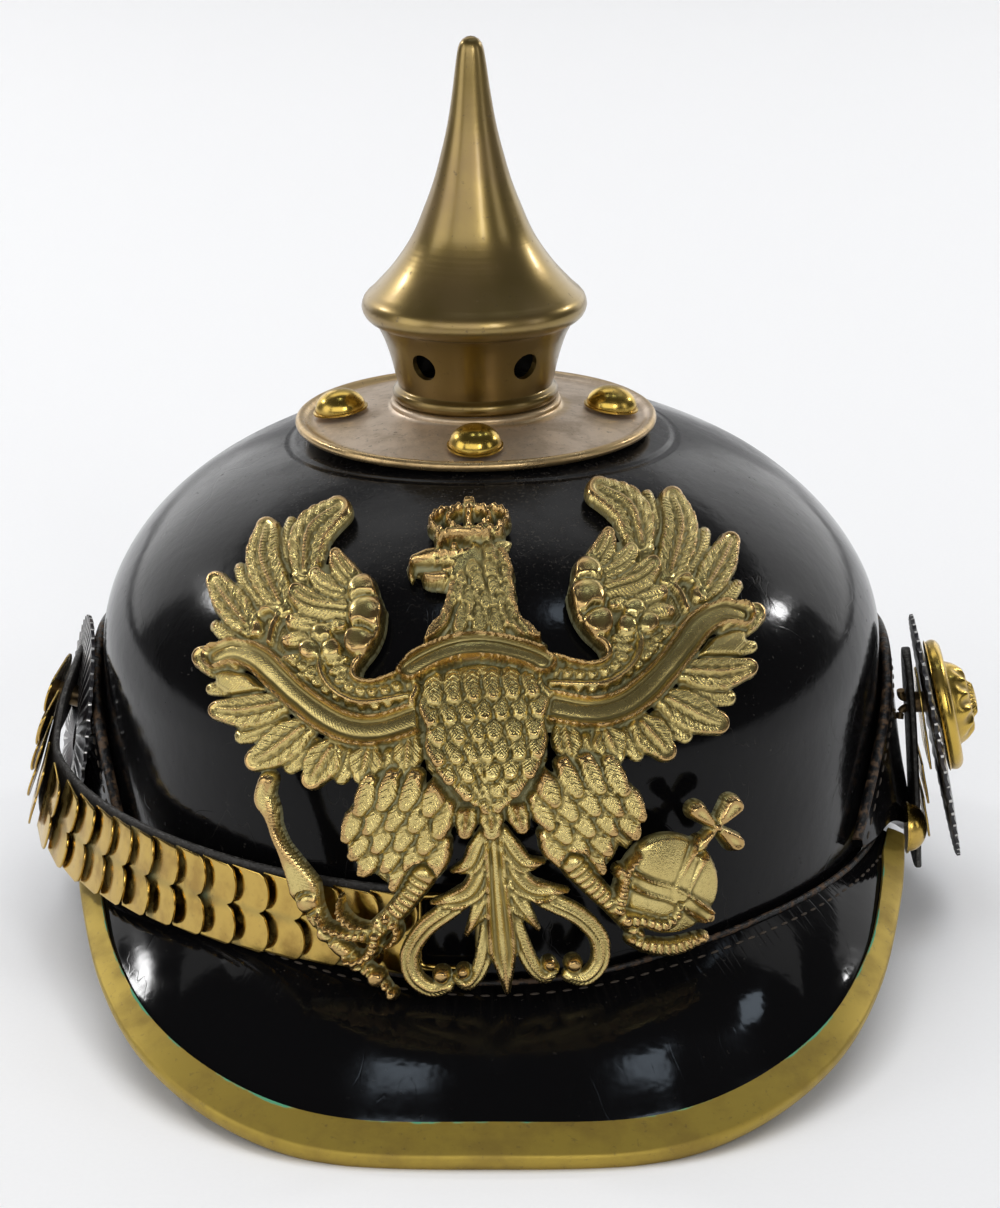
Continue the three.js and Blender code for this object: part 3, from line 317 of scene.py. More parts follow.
NECK_TUFTS = [
    Tuft(2.6, 40.6, 6, 1.5, 24), Tuft(5.6, 38.6, 6, 1.4, 18), Tuft(-0.4, 36.8, 5, 1.5, 14),
    Tuft(3, 36.6, 6, 1.5, 14), Tuft(6, 35, 6, 1.4, 14), Tuft(-2.6, 34.4, 5.4, 1.4, -6),
    Tuft(0.4, 34.4, 6, 1.5, 4), Tuft(3.4, 33, 6.4, 1.5, 10), Tuft(6, 31.4, 6, 1.4, 16),
    Tuft(-4.2, 32.6, 5.6, 1.4, -16), Tuft(-1.4, 31.4, 6.4, 1.5, -4), Tuft(1.6, 30.2, 6.4, 1.5, 6),
    Tuft(4.6, 29.2, 6.4, 1.5, 14), Tuft(-5.2, 29.4, 6.4, 1.4, -26), Tuft(-2.8, 28, 6.4, 1.5, -12),
    Tuft(0.2, 27.2, 6.6, 1.5, 0), Tuft(3.2, 26.6, 6.6, 1.5, 10), Tuft(6.4, 26.8, 6.4, 1.4, 24),
    Tuft(-7.2, 26.2, 6, 1.4, -38), Tuft(8.2, 24.6, 6, 1.4, 40),
]
DIADEM_BAND = Stroke([(-6.8, 43.6), (-3.4, 44.2), (0, 44.3), (3, 44.1), (6, 43.7)], [1.1])
DIADEM_ARCHES = [
    Stroke([(-6.4, 44.6), (-8.1, 46.3), (-7.1, 48), (-4.4, 49), (-0.6, 49.2)], [1.0]),
    Stroke([(5.8, 44.6), (7.5, 46), (6.7, 47.7), (4.1, 48.7), (0.4, 49)], [1.0]),
    Stroke([(-3.4, 44.8), (-4.6, 46.8), (-3.3, 48.7), (-0.8, 49.4)], [1.0]),
    Stroke([(2.6, 44.8), (3.9, 46.5), (2.9, 48.4), (0.6, 49.2)], [1.0]),
    Stroke([(-0.4, 44.4), (-0.4, 47), (-0.1, 49)], [1.1]),
]
DIADEM_TOP = [(-1.9, 49.4), (-1.5, 51.6), (1.7, 51.4), (1.7, 49.2)]
CHEST_RIBBON = Stroke(
    [(-13.8, 15.6), (-10.7, 17.5), (-6.4, 19.1), (-1.8, 19.7), (2.8, 19.1), (6.7, 17.8),
     (10.3, 16), (12, 14.6)],
    [3.0],
)
CHEST_FOLDS = [
    Stroke([(-14.3, 18.4), (-13.8, 13.9), (-13.1, 11), (-14.2, 8.6)], [0.9]),
    Stroke([(12.4, 16.2), (11.5, 12.6), (11.5, 10.1), (12.8, 7.6)], [0.9]),
]
BODY = [
    (-13.6, 14), (-13.4, 7), (-13, -0.4), (-12.5, -5), (-6.6, -12.6), (0, -13), (6.4, -12.6), (11.8, -5),
    (12, 1.9), (11.6, 7.7), (12.2, 14), (0, 20),
]
BREAST_ROWS = [
    BreastRow(13.4, 6, 23, 0.0), BreastRow(9.6, 7, 25, 0.05), BreastRow(5.8, 6, 23.4, 0.1),
    BreastRow(2, 7, 24, 0.16), BreastRow(-1.6, 6, 21.4, 0.26), BreastRow(-5, 5, 15.6, 0.38),
    BreastRow(-8, 4, 9.2, 0.48),
]
LEFT_THIGH = [
    (-9.5, -7.6), (-16.7, -8.3), (-24, -9.4), (-27.9, -11.9), (-29.6, -15.4), (-29.8, -19.9), (-28.4, -22.4),
    (-27.3, -26), (-25.6, -24.4), (-22.3, -27.3), (-20.1, -29.5), (-16.2, -27.5), (-11.7, -26.9), (-10, -25),
    (-9.5, -21.3), (-7.3, -12.2),
]
RIGHT_THIGH = [
    (9.6, -7.2), (18.4, -8.2), (24.4, -8.6), (28.1, -10.8), (30.1, -14.8), (30, -18.2), (27.6, -22.9),
    (26.4, -24.3), (24.9, -23.2), (23.6, -25.6), (20.3, -28.7), (17, -28.1), (13.8, -29.1), (12.2, -26.5),
    (10.8, -24.5), (9.5, -21.4), (9.5, -16.8), (6.8, -12.5),
]
SHANKS = [
    Stroke([(-15, -26), (-18.6, -30.6), (-22.4, -34.4), (-26.4, -37.6)], [3.0, 2.5, 2.2, 2.2]),
    Stroke([(15.4, -26), (18.9, -30.8), (22.6, -35.2), (25.8, -39.6), (27.4, -42)],
           [3.0, 2.5, 2.2, 2.0, 1.6]),
]
SCEPTRE_TOES = [
    Stroke([(-25.6, -36.8), (-29.4, -35.6), (-31.8, -32.6), (-31.9, -29.4)], [1.6, 1.5, 1.2, 0.5]),
    Stroke([(-26, -37.4), (-30.4, -37), (-34.6, -35.4), (-36.4, -33)], [1.6, 1.5, 1.2, 0.5]),
    Stroke([(-25.2, -37.6), (-26.4, -40.8), (-29.4, -42.6), (-32, -42)], [1.6, 1.5, 1.2, 0.5]),
    Stroke([(-22.4, -34.2), (-20.8, -37), (-22.4, -39.4), (-24.6, -40)], [1.4, 1.3, 1.0, 0.4]),
]
ORB_TOES = [
    Stroke([(25, -38), (28.4, -38.6), (32, -39.6), (34.8, -37.6), (35, -35.2)], [1.7, 1.6, 1.5, 1.1, 0.4]),
    Stroke([(23.4, -35.6), (24.4, -31.6), (25.6, -27.8), (28, -24.8)], [1.5, 1.4, 1.1, 0.5]),
]
SLAB = Stroke([(26, -42.6), (29.4, -44.4), (34.6, -45.2), (41, -43.6)], [1.5, 1.9, 1.9, 1.2])
SCEPTRE = Stroke(
    [(-44.8, -4.4), (-45.8, -7.8), (-44.6, -11.2), (-43.6, -16), (-41.6, -21.2), (-39.6, -26), (-38.2, -30.4),
     (-36.4, -34.4), (-33.4, -39), (-28.8, -43.6), (-25, -47.4), (-23, -50.2)],
    [2.0, 2.2, 1.2, 1.3, 2.3, 3.4, 2.2, 1.6, 1.9, 1.6, 1.6, 0.8],
)
SCEPTRE_BEADS = [
    Knob(-38.4, -30, 2.5, 1.6), Knob(-35.2, -36.4, 2.3, 1.6),
    Knob(-29.6, -42.8, 2.3, 1.6), Knob(-26, -46.4, 2.1, 1.6), Knob(-23.2, -50, 1.5, 1.2),
]
ORB = Knob(34.3, -31.9, 10.4, 2.7)
ORB_BANDS = [
    Stroke([(24.6, -28.4), (29, -31.2), (34.6, -33.6), (41, -38.8)], [1.7]),
    Stroke([(35.4, -33.2), (38.2, -28.4), (41.2, -24)], [1.7]),
]
CROSS_ARMS = [
    Stroke([(40.6, -25), (44.5, -20.9), (48.4, -16.8)], [1.2, 0.9, 2.3]),
    Stroke([(41, -17.4), (44.5, -20.9), (48.2, -24.4)], [2.2, 0.9, 2.2]),
]
CROSS_MIDDLE = Knob(44.5, -20.9, 1.1, 0.9)
CUP_PETALS = [
    Petal((-4.8, -12.4), (-6, -19.2), 2.6), Petal((4.3, -12.2), (6, -19), 2.6),
    Petal((-0.2, -12.2), (-0.5, -19.6), 2.8),
]
LEAVES = [
    Stroke([(-1.8, -28.6), (-3.8, -33.4), (-7.2, -38.8)], [1.4, 2.0, 0.5]),
    Stroke([(1.8, -29.4), (4.2, -33.8), (7.4, -38.8)], [1.4, 2.0, 0.5]),
    Stroke([(-1.6, -21.8), (-3.2, -26.8), (-6.6, -30.8), (-13.6, -31.8)], [1.4, 2.5, 2.3, 0.5]),
    Stroke([(1.6, -22.6), (3.6, -27.4), (7, -30.8), (13.8, -31.4)], [1.4, 2.5, 2.3, 0.5]),
    Stroke([(-2, -18.4), (-3.6, -21.6), (-5.4, -24.6), (-9, -25.6)], [1.4, 2.2, 2.0, 0.5]),
    Stroke([(1.6, -18.4), (3.2, -22), (5.8, -25.2), (9.6, -25)], [1.4, 2.2, 2.0, 0.5]),
]
SCROLLS = [
    Stroke([(-3, -28.6), (-9, -32.8), (-15.2, -36.8), (-18.9, -41.8), (-18.6, -46.6),
            (-15.4, -49.6), (-12, -49.2)],
           [1.3, 1.9, 2.0, 2.0, 2.0, 1.8, 1.5]),
    Stroke([(3, -28.6), (9.4, -33), (15.6, -36.8), (19.4, -41.8), (19.2, -46.8), (16, -49.8), (12.8, -49)],
           [1.3, 1.9, 2.0, 2.0, 2.0, 1.8, 1.5]),
    Stroke([(-2.2, -33), (-3.2, -40), (-4.8, -45.6), (-7.6, -49), (-9.6, -47.6)], [1.2, 1.6, 1.8, 1.7, 1.3]),
    Stroke([(2.2, -33), (3.4, -40), (5.4, -46), (8, -48.8), (9.8, -47)], [1.2, 1.6, 1.8, 1.7, 1.3]),
]
SCROLL_BALLS = [
    Knob(-12.8, -46.8, 2.0, 1.7), Knob(13.8, -46.6, 2.0, 1.7),
    Knob(-8.4, -46.4, 1.7, 1.6), Knob(8.9, -46.2, 1.7, 1.6),
]
TAIL_STEM = Stroke(
    [(-0.2, -17), (-0.3, -30), (-0.2, -40), (0, -46.4), (0.1, -51.2)], [1.8, 2.0, 2.6, 3.0, 0.7])


def length_of(name, description, default):
    return bpy.props.FloatProperty(
        name=name, description=description, default=default, min=0.0, subtype="DISTANCE", unit="LENGTH")


def count_of(name, description, default):
    return bpy.props.IntProperty(name=name, description=description, default=default, min=3)


def colour_of(name, description, default):
    return bpy.props.FloatVectorProperty(
        name=name, description=description, default=(*default, 1.0), size=4,
        min=0.0, max=1.0, subtype="COLOR")


class HelmetSizes(bpy.types.PropertyGroup):
    """Sizes of the finer forms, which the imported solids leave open."""

    crown_sides: count_of("Crown sides", "Faces round the crown", 192)
    dents: length_of("Dents", "How far the old leather wanders from a true dome", 0.00022)
    welt: length_of("Welt", "Half the thickness of the welt along the seams", 0.0007)
    stitch_pitch: length_of("Stitch pitch", "Distance from stitch to stitch", 0.0034)
    stitch_length: length_of("Stitch length", "Length of one stitch", 0.0021)
    stitch_radius: length_of("Thread", "Half the thickness of the thread", 0.00024)
    relief_step: length_of("Relief step", "Distance between the points of the eagle's relief", 0.00032)
    relief_edge: length_of("Relief edge", "How far in from its outline the relief rises", 0.0008)
    scale_metal: length_of("Scale metal", "Thickness of the chin scales", 0.0005)
    scale_dome: length_of("Scale dome", "How far each lobe of a scale bulges", 0.00025)
    pleats: count_of("Pleats", "Pleats round a cockade", 48)
    petals: count_of("Petals", "Petals round the rosette", 12)
    lens: bpy.props.FloatProperty(
        name="Lens", description="Focal length of the camera", default=131.3, min=1.0, unit="CAMERA")
    camera_down: bpy.props.FloatProperty(
        name="Camera pitch", description="How far the camera looks down", default=math.radians(18.13),
        subtype="ANGLE", unit="ROTATION")


class HelmetColours(bpy.types.PropertyGroup):
    """Colours of the leather, the metals and the stage."""

    lacquer: colour_of("Lacquer", "Black lacquer of the leather", (0.0028, 0.0027, 0.003))
    dust: colour_of("Dust", "Dust and rubbed spots on the lacquer", (0.075, 0.066, 0.055))
    cut_leather: colour_of("Cut leather", "Raw edge of the leather", (0.13, 0.075, 0.038))
    thread: colour_of("Thread", "Old sewing thread", (0.05, 0.036, 0.024))
    strap: colour_of("Strap", "Leather under the chin scales", (0.016, 0.014, 0.012))
    plate: colour_of("Plate brass", "Brass of the eagle", (0.66, 0.53, 0.21))
    worn: colour_of("Worn brass", "Reddish brass on the worn high points", (0.43, 0.235, 0.1))
    verdigris: colour_of("Verdigris", "Green bloom in the hollows", (0.4, 0.44, 0.3))
    bright_green: colour_of("Bright verdigris", "Green bloom along the trim", (0.07, 0.27, 0.15))
    trim: colour_of("Trim brass", "Brass of the trim", (0.42, 0.3, 0.055))
    stud: colour_of("Stud brass", "Brass of studs and rosette", (0.6, 0.41, 0.085))
    scale: colour_of("Scale brass", "Brass of the chin scales", (0.56, 0.38, 0.1))
    spike: colour_of("Spike brass", "Dark brass of the spike", (0.3, 0.213, 0.07))
    base: colour_of("Base brass", "Dull brass of the base plate", (0.66, 0.54, 0.42))
    paint: colour_of("Cockade paint", "Black paint of the cockades", (0.012, 0.011, 0.013))
    floor: colour_of("Floor", "Pale floor and backdrop", (0.86, 0.86, 0.87))


class Wire:
    """One output of a node, with arithmetic that adds Math nodes."""

    def __init__(self, finish, socket):
        self.finish = finish
        self.socket = socket

    def maths(self, operation, first, second=0.0):
        return self.finish.node("ShaderNodeMath", {"operation": operation}, {0: first, 1: second})

    def __add__(self, other):
        return self.maths("ADD", self, other)

    __radd__ = __add__

    def __sub__(self, other):
        return self.maths("SUBTRACT", self, other)

    def __rsub__(self, other):
        return self.maths("SUBTRACT", other, self)

    def __mul__(self, other):
        return self.maths("MULTIPLY", self, other)

    __rmul__ = __mul__

    def __pow__(self, other):
        return self.maths("POWER", self, other)

    def __abs__(self):
        return self.maths("ABSOLUTE", self)

    def sine(self):
        return self.maths("SINE", self)

    def rise(self, low, high):
        """From 0 at low to 1 at high, smoothly, and level beyond them."""
        values = {"Value": self, "From Min": low, "From Max": high}
        return self.finish.node("ShaderNodeMapRange", {"interpolation_type": "SMOOTHSTEP"}, values)


class Finish:
    """A material, put together node by node."""

    def __init__(self, name):
        self.material = bpy.data.materials.new(name)
        self.material.use_nodes = True
        self.tree = self.material.node_tree
        self.tree.nodes.clear()

    def node(self, kind, settings=None, values=None, output=0):
        """Adds a node, sets it up, fills or links its sockets and gives one of its outputs."""
        made = self.tree.nodes.new(kind)
        for key, value in (settings or {}).items():
            setattr(made, key, value)
        for key, value in (values or {}).items():
            if isinstance(value, Wire):
                self.tree.links.new(value.socket, made.inputs[key])
            else:
                made.inputs[key].default_value = value
        return Wire(self, made.outputs[output]) if made.outputs else None

    def place(self):
        return self.node("ShaderNodeTexCoord", output="Object")

    def chart(self):
        return self.node("ShaderNodeTexCoord", output="UV")

    def split(self, vector):
        axes = [self.node("ShaderNodeSeparateXYZ", None, {0: vector}, axis) for axis in range(3)]
        return axes

    def moved(self, vector, offset, stretch=(1.0, 1.0, 1.0)):
        return self.node("ShaderNodeMapping", None, {"Vector": vector, "Location": offset, "Scale": stretch})

    def grain(self, vector, scale, detail=3.0, roughness=0.55):
        values = {"Vector": vector, "Scale": scale, "Detail": detail, "Roughness": roughness}
        return self.node("ShaderNodeTexNoise", None, values, "Fac")

    def wander(self, vector, scale, amount):
        """The vector, pushed about by noise."""
        inputs = {"Vector": vector, "Scale": scale, "Detail": 2.0}
        push = self.node("ShaderNodeTexNoise", None, inputs, "Color")
        settings = {"operation": "MULTIPLY_ADD"}
        values = {0: push, 1: (amount,) * 3, 2: vector}
        return self.node("ShaderNodeVectorMath", settings, values)

    def lines(self, vector, scale, width):
        """Long thin lines that follow the contours of a noise."""
        return 1.0 - abs(self.grain(vector, scale, 2.0, 0.4) - 0.5).rise(0.0, width)

    def own(self, attribute):
        return self.node("ShaderNodeAttribute", {"attribute_name": attribute}, None, "Fac")

    def mix(self, share, first, second):
        """A colour between two others."""
        settings = {"data_type": "RGBA"}
        return self.node("ShaderNodeMix", settings, {0: share, 6: first, 7: second}, 2)

    def bump(self, height, distance, strength=1.0, under=None):
        values = {"Height": height, "Distance": distance, "Strength": strength}
        if under:
            values["Normal"] = under
        return self.node("ShaderNodeBump", None, values)

    def surface(self, values):
        shader = self.node("ShaderNodeBsdfPrincipled", None, values, "BSDF")
        self.node("ShaderNodeOutputMaterial", None, {"Surface": shader})
        return self.material


def shared(make, colours):
    """The finish that a function makes, made once."""
    name = "finish_" + make.__name__
    return bpy.data.materials.get(name) or make(Finish(name), colours)


def crown_lacquer(finish, colours):
    """Black lacquer: dull and dusty on top, glossy on the sides, finely crazed."""
    place = finish.place()
    x, y, z = finish.split(place)
    top = z.rise(0.088, 0.116)
    cloud = finish.grain(place, 38.0, 4.0).rise(0.4, 0.68)
    dust = finish.grain(place, 1500.0, 2.0).rise(0.56, 0.72)
    specks = finish.grain(place, 620.0, 3.0, 0.7).rise(0.66, 0.72)
    hair_way = finish.moved(place, (0.3, 0.1, 0.0), (26.0, 15.0, 48.0))
    crazing = finish.lines(hair_way, 1.0, 0.004) * finish.grain(place, 30.0).rise(0.46, 0.56)
    scratch_way = finish.moved(place, (0.0, 0.7, 0.2), (70.0, 22.0, 40.0))
    scratches = finish.lines(scratch_way, 2.0, 0.006) * finish.grain(place, 46.0).rise(0.5, 0.58)
    dulled = top * (0.35 + 0.65 * cloud)
    shown = 0.55 * dulled * dust + 0.4 * specks * cloud + 0.12 * scratches
    marks = finish.mix(shown, tuple(colours.lacquer), tuple(colours.dust))
    across = x - (CENTRE.x + SPIKE_OFFSET * MM)
    lengthwise = y - CENTRE.y
    ring = (across * across + lengthwise * lengthwise) ** 0.5
    imprint = 1.0 - abs(ring - 0.0428).rise(0.0, 0.0014)
    creases = finish.grain(place, 260.0, 4.0)
    normal = finish.bump(creases, 0.0012, 0.05)
    normal = finish.bump(0.0 - imprint - 0.06 * crazing - 0.05 * scratches, 0.0004, 0.5, normal)
    roughness = 0.1 + 0.2 * dulled + 0.1 * dust * top + 0.06 * cloud + 0.25 * specks
    return finish.surface({
        "Base Color": marks, "Roughness": roughness, "Normal": normal, "Specular IOR Level": 0.15})


def visor_lacquer(finish, colours):
    """Thick glossy lacquer with cracks that run out from the seam."""
    place = finish.place()
    _, across, _ = finish.split(finish.chart())
    near_seam = 1.0 - across.rise(0.02, 0.17)
    cloud = finish.grain(place, 42.0, 4.0).rise(0.42, 0.66)
    waves = finish.grain(place, 85.0, 3.0)
    rays = finish.lines(finish.moved(finish.chart(), (0.0, 0.0, 0.0), (70.0, 1.6, 1.0)), 1.0, 0.03)
    net = finish.lines(finish.moved(finish.chart(), (3.0, 1.0, 0.0), (46.0, 3.0, 1.0)), 1.0, 0.012) * cloud
    specks = finish.grain(place, 700.0, 3.0, 0.7).rise(0.66, 0.72)
    worn = near_seam * (0.1 * rays + 0.8 * specks)
    colour = finish.mix(0.4 * worn + 0.2 * specks * cloud, tuple(colours.lacquer), tuple(colours.dust))
    normal = finish.bump(waves, 0.004, 0.022)
    normal = finish.bump(0.0 - 0.25 * rays * near_seam - 0.1 * net, 0.0004, 0.16, normal)
    roughness = 0.06 + 0.08 * cloud + 0.3 * worn
    return finish.surface({
        "Base Color": colour, "Roughness": roughness, "Normal": normal, "Specular IOR Level": 0.15})


def welt_leather(finish, colours):
    """The rough, rubbed edge of sewn leather."""
    place = finish.place()
    rough = finish.grain(place, 420.0, 4.0, 0.65)
    rubbed = finish.grain(place, 560.0, 3.0, 0.65).rise(0.46, 0.62)
    colour = finish.mix(0.6 * rubbed, tuple(colours.lacquer), tuple(colours.cut_leather))
    normal = finish.bump(rough, 0.0014, 0.5)
    return finish.surface({"Base Color": colour, "Roughness": 0.38 + 0.3 * rubbed, "Normal": normal})


def thread(finish, colours):
    """Waxed thread, laid in two strands and dusty."""
    place = finish.place()
    dusty = finish.grain(place, 300.0, 3.0).rise(0.35, 0.7)
    twist = finish.grain(place, 2400.0, 2.0)
    colour = finish.mix(dusty, (0.035, 0.026, 0.018, 1.0), tuple(colours.thread))
    normal = finish.bump(twist, 0.0003, 0.6)
    return finish.surface({"Base Color": colour, "Roughness": 0.75, "Normal": normal})


def inner_leather(finish, colours):
    """The unlacquered inside of the crown and the visors."""
    place = finish.place()
    pores = finish.grain(place, 900.0, 4.0, 0.6)
    cloud = finish.grain(place, 30.0, 4.0)
    colour = finish.mix(cloud, (0.035, 0.021, 0.012, 1.0), (0.075, 0.044, 0.024, 1.0))
    normal = finish.bump(pores, 0.0006, 0.4)
    return finish.surface({"Base Color": colour, "Roughness": 0.55 + 0.2 * pores, "Normal": normal})


def strap_leather(finish, colours):
    """Matt black strap leather, creased across and rubbed grey along its edges."""
    place = finish.place()
    _, across, _ = finish.split(finish.chart())
    edge = 1.0 - abs(abs(across - 0.5) - 0.25).rise(0.012, 0.05)
    speckle = finish.grain(place, 1100.0, 3.0, 0.7).rise(0.45, 0.65)
    creases = finish.grain(finish.moved(finish.chart(), (0.0, 0.0, 0.0), (90.0, 5.0, 1.0)), 1.0, 3.0)
    colour = finish.mix(edge * speckle * 0.8, tuple(colours.strap), (0.13, 0.125, 0.115, 1.0))
    normal = finish.bump(creases, 0.0012, 0.4)
    return finish.surface({"Base Color": colour, "Roughness": 0.45 + 0.25 * speckle, "Normal": normal})


def spike_brass(finish, colours):
    """Dark smooth brass with faint turning lines and soft stains; the neck under the spike's rim is painted
    darker as shade.
    """
    place = finish.place()
    _, _, z = finish.split(place)
    stains = finish.grain(place, 46.0, 5.0, 0.6).rise(0.4, 0.7)
    spots = finish.grain(place, 520.0, 3.0, 0.7).rise(0.62, 0.72)
    turning = finish.grain(finish.moved(place, (0.0, 0.0, 0.0), (3.0, 3.0, 900.0)), 1.0, 2.0)
    colour = finish.mix(0.55 * stains, tuple(colours.spike), (0.27, 0.18, 0.085, 1.0))
    colour = finish.mix(0.5 * spots, colour, (0.12, 0.085, 0.05, 1.0))
    # Below this height the neck and the underside of the spike's rim are painted dark brown: painted shade
    # under the overhanging rim.
    colour = finish.mix(0.65 - 0.65 * z.rise(0.1365, 0.1395), colour, (0.15, 0.095, 0.02, 1.0))
    roughness = 0.3 + 0.08 * stains + 0.2 * spots
    normal = finish.bump(turning, 0.00025, 0.12)
    return finish.surface({
        "Base Color": colour, "Metallic": 0.95, "Roughness": roughness, "Normal": normal,
        "Coat Weight": 0.35, "Coat Roughness": 0.16})


def vent_painted_shade(finish, colours):
    """The inside of the spike's neck, painted near black as the shade inside the vented tube."""
    shade_grain = finish.grain(finish.place(), 400.0, 4.0)
    # Near-black colours: painted shade inside the neck.
    colour = finish.mix(shade_grain, (0.004, 0.003, 0.002, 1.0), (0.02, 0.014, 0.008, 1.0))
    return finish.surface({"Base Color": colour, "Roughness": 0.7 + 0.2 * shade_grain})


def base_brass(finish, colours):
    """Dull brown brass, scuffed, with a brighter rolled edge."""
    place = finish.place()
    x, y, _ = finish.split(place)
    across = x - (CENTRE.x + SPIKE_OFFSET * MM)
    lengthwise = y - CENTRE.y
    ring = (across * across + lengthwise * lengthwise) ** 0.5
    rim = ring.rise(0.0366, 0.0384)
    collar = 1.0 - ring.rise(0.0186, 0.0204)
    scuffs = finish.grain(finish.wander(place, 90.0, 0.006), 130.0, 5.0, 0.65).rise(0.38, 0.68)
    spots = finish.grain(place, 800.0, 3.0, 0.7).rise(0.58, 0.7)
    dull = finish.mix(0.7 * scuffs, tuple(colours.base), (0.43, 0.34, 0.25, 1.0))
    colour = finish.mix(0.85 * rim + 0.6 * collar, dull, (0.5, 0.34, 0.14, 1.0))
    colour = finish.mix(0.5 * spots, colour, (0.1, 0.075, 0.05, 1.0))
    roughness = 0.42 + 0.14 * scuffs - 0.16 * rim - 0.1 * collar
    normal = finish.bump(scuffs, 0.0003, 0.2)
    return finish.surface({
        "Base Color": colour, "Metallic": 0.88 - 0.3 * spots, "Roughness": roughness, "Normal": normal})


def trim_brass(finish, colours):
    """Polished trim with fine scratches along it and green bloom at its inner edge."""
    place = finish.place()
    _, across, _ = finish.split(finish.chart())
    patches = finish.grain(place, 60.0, 4.0, 0.65)
    inner = 1.0 - across.rise(0.034, 0.1)
    bloom = (inner * 0.75 + patches).rise(1.2, 1.3)
    stains = finish.grain(place, 75.0, 5.0, 0.6).rise(0.42, 0.7)
    lines = finish.grain(finish.moved(finish.chart(), (0.0, 0.0, 0.0), (14.0, 420.0, 1.0)), 1.0, 2.0)
    spots = finish.grain(place, 640.0, 3.0, 0.7).rise(0.6, 0.7)
    colour = finish.mix(0.7 * stains, tuple(colours.trim), (0.27, 0.185, 0.045, 1.0))
    colour = finish.mix(0.45 * spots, colour, (0.17, 0.12, 0.05, 1.0))
    colour = finish.mix(bloom, colour, tuple(colours.bright_green))
    roughness = 0.44 + 0.12 * stains + 0.3 * bloom
    normal = finish.bump(lines, 0.0003, 0.16)
    return finish.surface({
        "Base Color": colour, "Metallic": 0.8 - 0.78 * bloom, "Roughness": roughness, "Normal": normal})


def stud_brass(finish, colours):
    """Bright yellow brass with a few dark spots."""
    place = finish.place()
    stains = finish.grain(place, 140.0, 4.0, 0.6).rise(0.42, 0.7)
    spots = finish.grain(place, 900.0, 3.0, 0.7).rise(0.62, 0.72)
    colour = finish.mix(0.5 * stains, tuple(colours.stud), (0.45, 0.3, 0.1, 1.0))
    colour = finish.mix(0.55 * spots, colour, (0.14, 0.1, 0.05, 1.0))
    roughness = 0.2 + 0.14 * stains + 0.2 * spots
    return finish.surface({"Base Color": colour, "Metallic": 1.0, "Roughness": roughness})


def rosette_brass(finish, colours):
    """Rosette brass: bright crests and brown, greenish hollows."""
    place = finish.place()
    hollow = finish.own("hollow")
    stains = finish.grain(place, 160.0, 4.0, 0.6).rise(0.42, 0.7)
    colour = finish.mix(0.4 * stains, tuple(colours.stud), (0.45, 0.3, 0.1, 1.0))
    colour = finish.mix(0.75 * hollow, colour, (0.16, 0.13, 0.06, 1.0))
    roughness = 0.22 + 0.12 * stains + 0.25 * hollow
    return finish.surface({"Base Color": colour, "Metallic": 1.0 - 0.35 * hollow, "Roughness": roughness})


def scale_brass(finish, colours):
    """Warm scale brass: polished on the lobes, dark and green towards the root."""
    place = finish.place()
    along, across, _ = finish.split(finish.chart())
    under = 1.0 - along.rise(0.16, 0.55)
    seam = 1.0 - abs(across - 0.5).rise(0.0, 0.09)
    stains = finish.grain(place, 120.0, 4.0, 0.6).rise(0.42, 0.7)
    spots = finish.grain(place, 800.0, 3.0, 0.7).rise(0.6, 0.7)
    colour = finish.mix(0.65 * stains, tuple(colours.scale), (0.3, 0.175, 0.05, 1.0))
    colour = finish.mix(0.7 * under * stains + 0.25 * seam, colour, (0.12, 0.15, 0.08, 1.0))
    colour = finish.mix(0.35 * spots, colour, (0.2, 0.13, 0.06, 1.0))
    roughness = 0.15 + 0.1 * stains + 0.3 * under * stains
    metallic = 1.0 - 0.4 * under * stains
    return finish.surface({"Base Color": colour, "Metallic": metallic, "Roughness": roughness})


def eagle_brass(finish, colours):
    """Stamped brass: green bloom in the hollows, red wear on the crests, fine barbs on the feathers."""
    place = finish.place()
    along, beside, _ = finish.split(finish.chart())
    cavity = finish.own("cavity")
    crest = finish.own("crest")
    plain = finish.own("plain")
    cloud = finish.grain(place, 95.0, 5.0, 0.62)
    fine = finish.grain(place, 1500.0, 3.0, 0.65)
    stipple = finish.grain(place, 3200.0, 1.0)
    shade = cavity.rise(0.05, 0.6)
    bloom = (cavity + 0.4 * cloud).rise(0.9, 1.3)
    rubbed = (crest + 0.6 * cloud).rise(0.56, 0.95)
    colour = finish.mix(cloud.rise(0.35, 0.7) * 0.5, tuple(colours.plate), (0.46, 0.345, 0.115, 1.0))
    colour = finish.mix(0.7 * shade, colour, (0.12, 0.095, 0.03, 1.0))
    colour = finish.mix(0.5 * bloom, colour, tuple(colours.verdigris))
    colour = finish.mix(0.65 * rubbed, colour, tuple(colours.worn))
    colour = finish.mix(0.3 * fine.rise(0.52, 0.7), colour, (0.2, 0.15, 0.05, 1.0))
    barbs = ((along - 0.95 * abs(beside)) * 90.0).sine()
    normal = finish.bump(barbs * (1.0 - plain), 0.0002, 0.3)
    tooled = 1.0 - 0.75 * plain
    normal = finish.bump(fine * tooled, 0.0005, 0.3, normal)
    normal = finish.bump(stipple * tooled, 0.0003, 0.35, normal)
    roughness = 0.22 + 0.3 * bloom + 0.1 * shade + 0.08 * fine - 0.06 * rubbed
    return finish.surface({
        "Base Color": colour, "Metallic": 0.97 - 0.4 * bloom, "Roughness": roughness, "Normal": normal})


